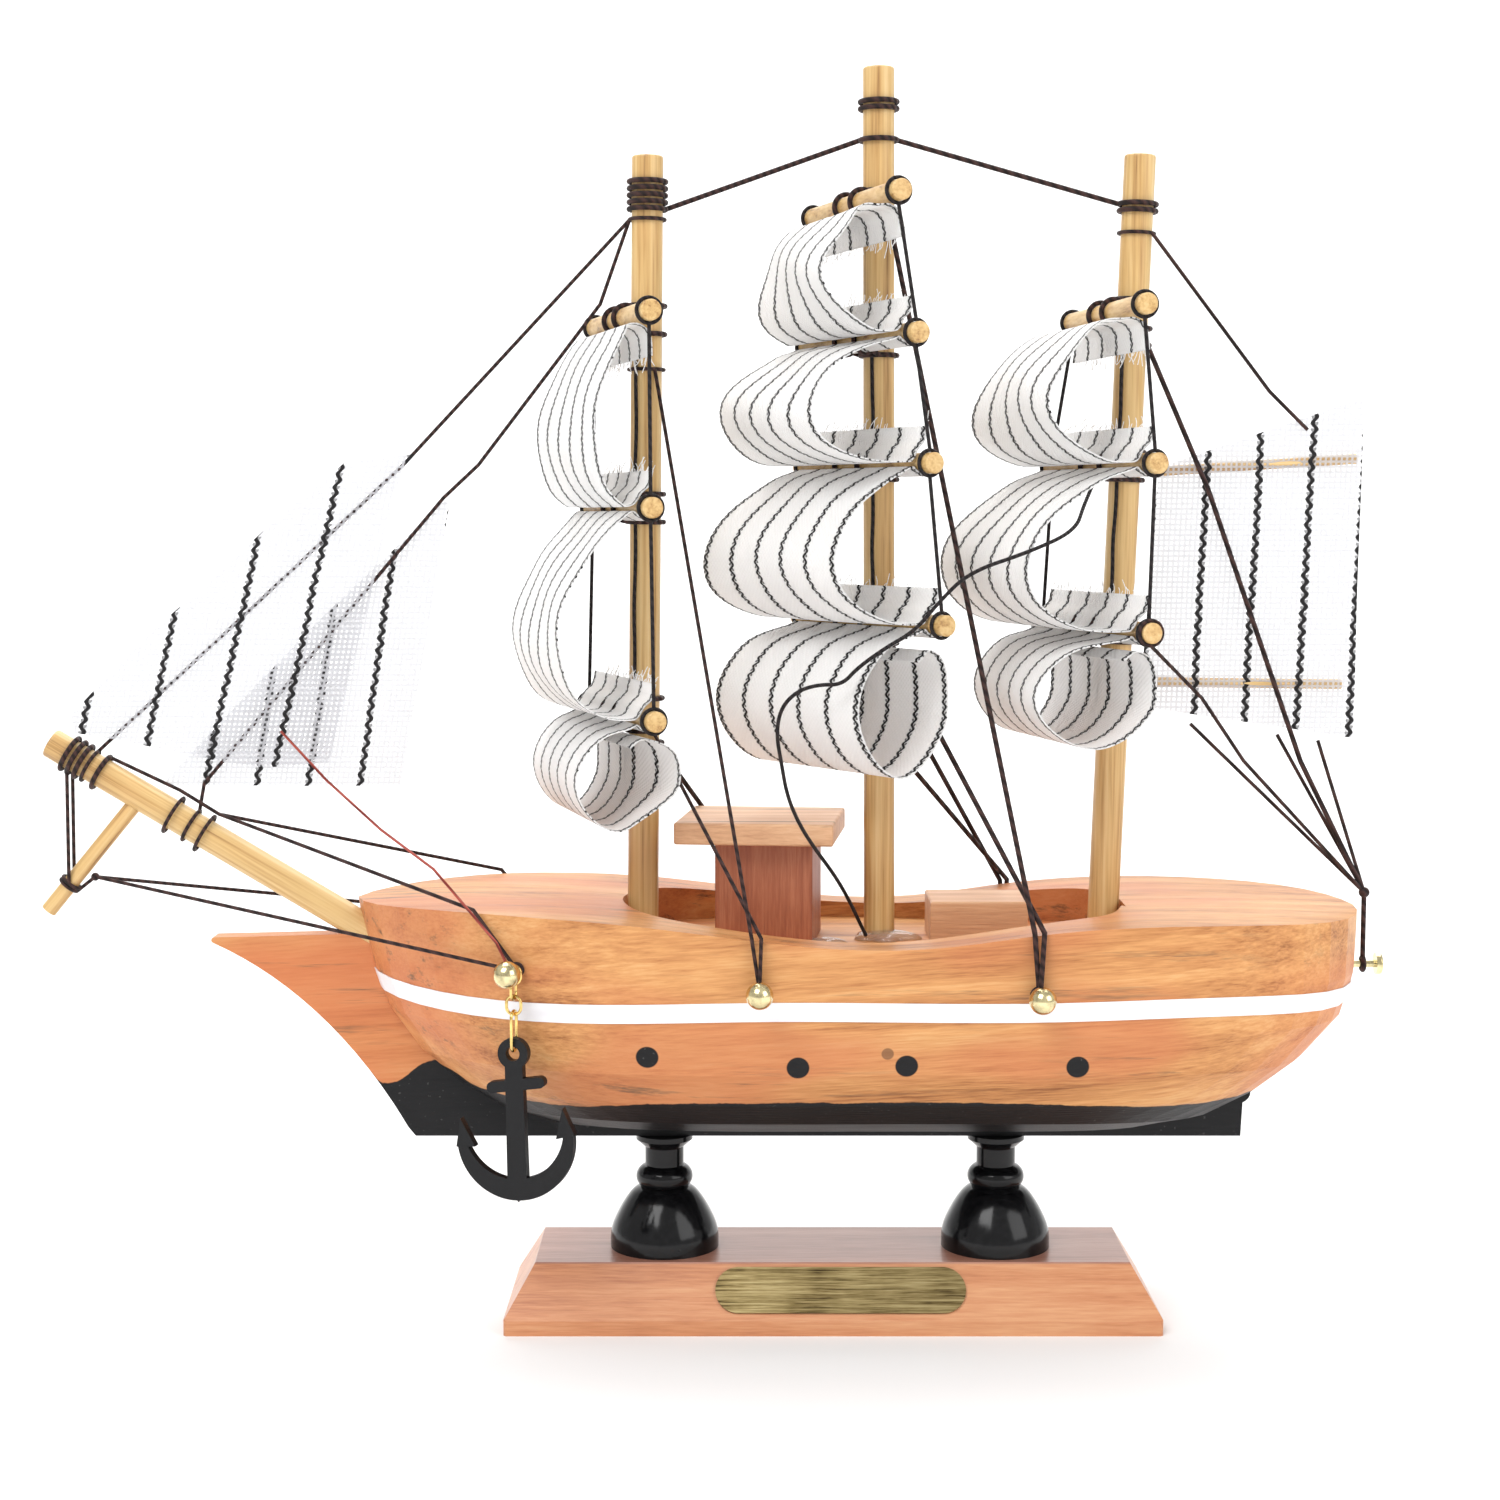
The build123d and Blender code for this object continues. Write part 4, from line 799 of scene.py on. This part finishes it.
def add_stage():
    """Pale floor that curves up into a pale wall far behind."""
    angles = [math.pi / 2 * i / COVE_STEPS for i in range(1, COVE_STEPS + 1)]
    profile = [(FLOOR_FRONT, 0.0), (FLOOR_END, 0.0)]
    profile += [(FLOOR_END + COVE_RADIUS * math.sin(a), COVE_RADIUS * (1 - math.cos(a))) for a in angles]
    profile += [(FLOOR_END + COVE_RADIUS, WALL_TOP)]
    count = len(profile)
    verts = [(x, y, z) for x in (-FLOOR_HALF_WIDTH, FLOOR_HALF_WIDTH) for y, z in profile]
    mesh = bpy.data.meshes.new("floor")
    mesh.from_pydata(verts, [], [(i, i + 1, count + i + 1, count + i) for i in range(count - 1)])
    s = Shader("floor_white")
    tone = s.noise(s.place((0.01, 0.01, 0.01)), 0.5, 2.0)
    mesh.materials.append(s.finish(s.ramp(tone, FLOOR_TONES), 0.9))
    mesh.shade_smooth()
    floor = bpy.data.objects.new("floor", mesh)
    bpy.context.collection.objects.link(floor)
    world = bpy.context.scene.world or bpy.data.worlds.new("world")
    bpy.context.scene.world = world
    world.use_nodes = True
    background = world.node_tree.nodes["Background"]
    background.inputs[0].default_value = (1.0, 1.0, 1.0, 1.0)
    background.inputs[1].default_value = WORLD_STRENGTH
    for light in LIGHTS:
        add_light(*light)
    bpy.context.scene.view_settings.view_transform = "Standard"


# ---------------------------------------------------------------- the model
add_camera()
add_stage()
black_thread = thread("black_thread", *BLACK_THREAD, 0.9)
brown_thread = thread("brown_thread", *BROWN_THREAD)
loose_cord(black_thread)

dress(hull_wood(), "hull", "keel_plate")
dress(stand_wood(), "base")
dress(plate_brass(), "name_plate")
dress(black_lacquer(), "bow_pedestal", "stern_pedestal")
dress(tape(), "hull_stripe")
dress(plain_wood("cabin_wood", CABIN_TONES, "Z"), "cabin")
dress(plain_wood("roof_wood", ROOF_TONES, "X", ROOF_STREAK), "cabin_roof")
dress(plain_wood("hatch_wood", HATCH_TONES, "X"), "deck_hatch")
dress(bamboo("bamboo_upright", "Z"), "fore_mast", "main_mast", "mizzen_mast")
dress(bamboo("bamboo_level", "Y"), *[name for name in nodes if "_yard_" in name])
dress(bamboo("bamboo_sprit", "X", SPRIT_SLOPE), "bowsprit")
dress(bamboo("bamboo_striker", "X", STRIKER_SLOPE), "dolphin_striker")
dress(bamboo("bamboo_lengthwise", "X"), "spanker_gaff", "spanker_boom")
dress(brass("gold_brass", CHAIN_GOLD, 0.10), "chain_link_1", "chain_link_2", "chain_link_3", "anchor_ring")
dress(brass("pin_brass", PIN_GOLD, 0.12), "side_pins", "stern_pin")
dress(matte_black(), "anchor")
dress(brown_thread, "masthead_stays", "stern_rigging", "yard_lashings", "port_shrouds", "starboard_shrouds",
      "bow_rigging")
dress(black_thread, "yard_lines")
dress(thread("red_strand", *RED_THREAD, 0.8), "red_thread")

for line in MAST_LINES:
    mast_line(*line, black_thread)
glue = clear_glue()
for seed, drop in enumerate(GLUE_DROPS, 1):
    glue_drop(*drop, glue, seed)

hair = white_fibre()
first_stripe = UV_MIDDLE + STRIPE_SPACING / 2
sail_cloth = ribbon("sail_ribbon", first_stripe, STRIPE_SPACING, RIBBON_STRIPE, RIBBON_WHITE)
for seed, sail in enumerate(SQUARE_SAILS):
    square_sail(*sail, sail_cloth, hair, seed)
for sail in CURLED_SAILS:
    curled_sail(*sail, sail_cloth)
for sail in GAUZE_SAILS:
    gauze_sail(*sail)
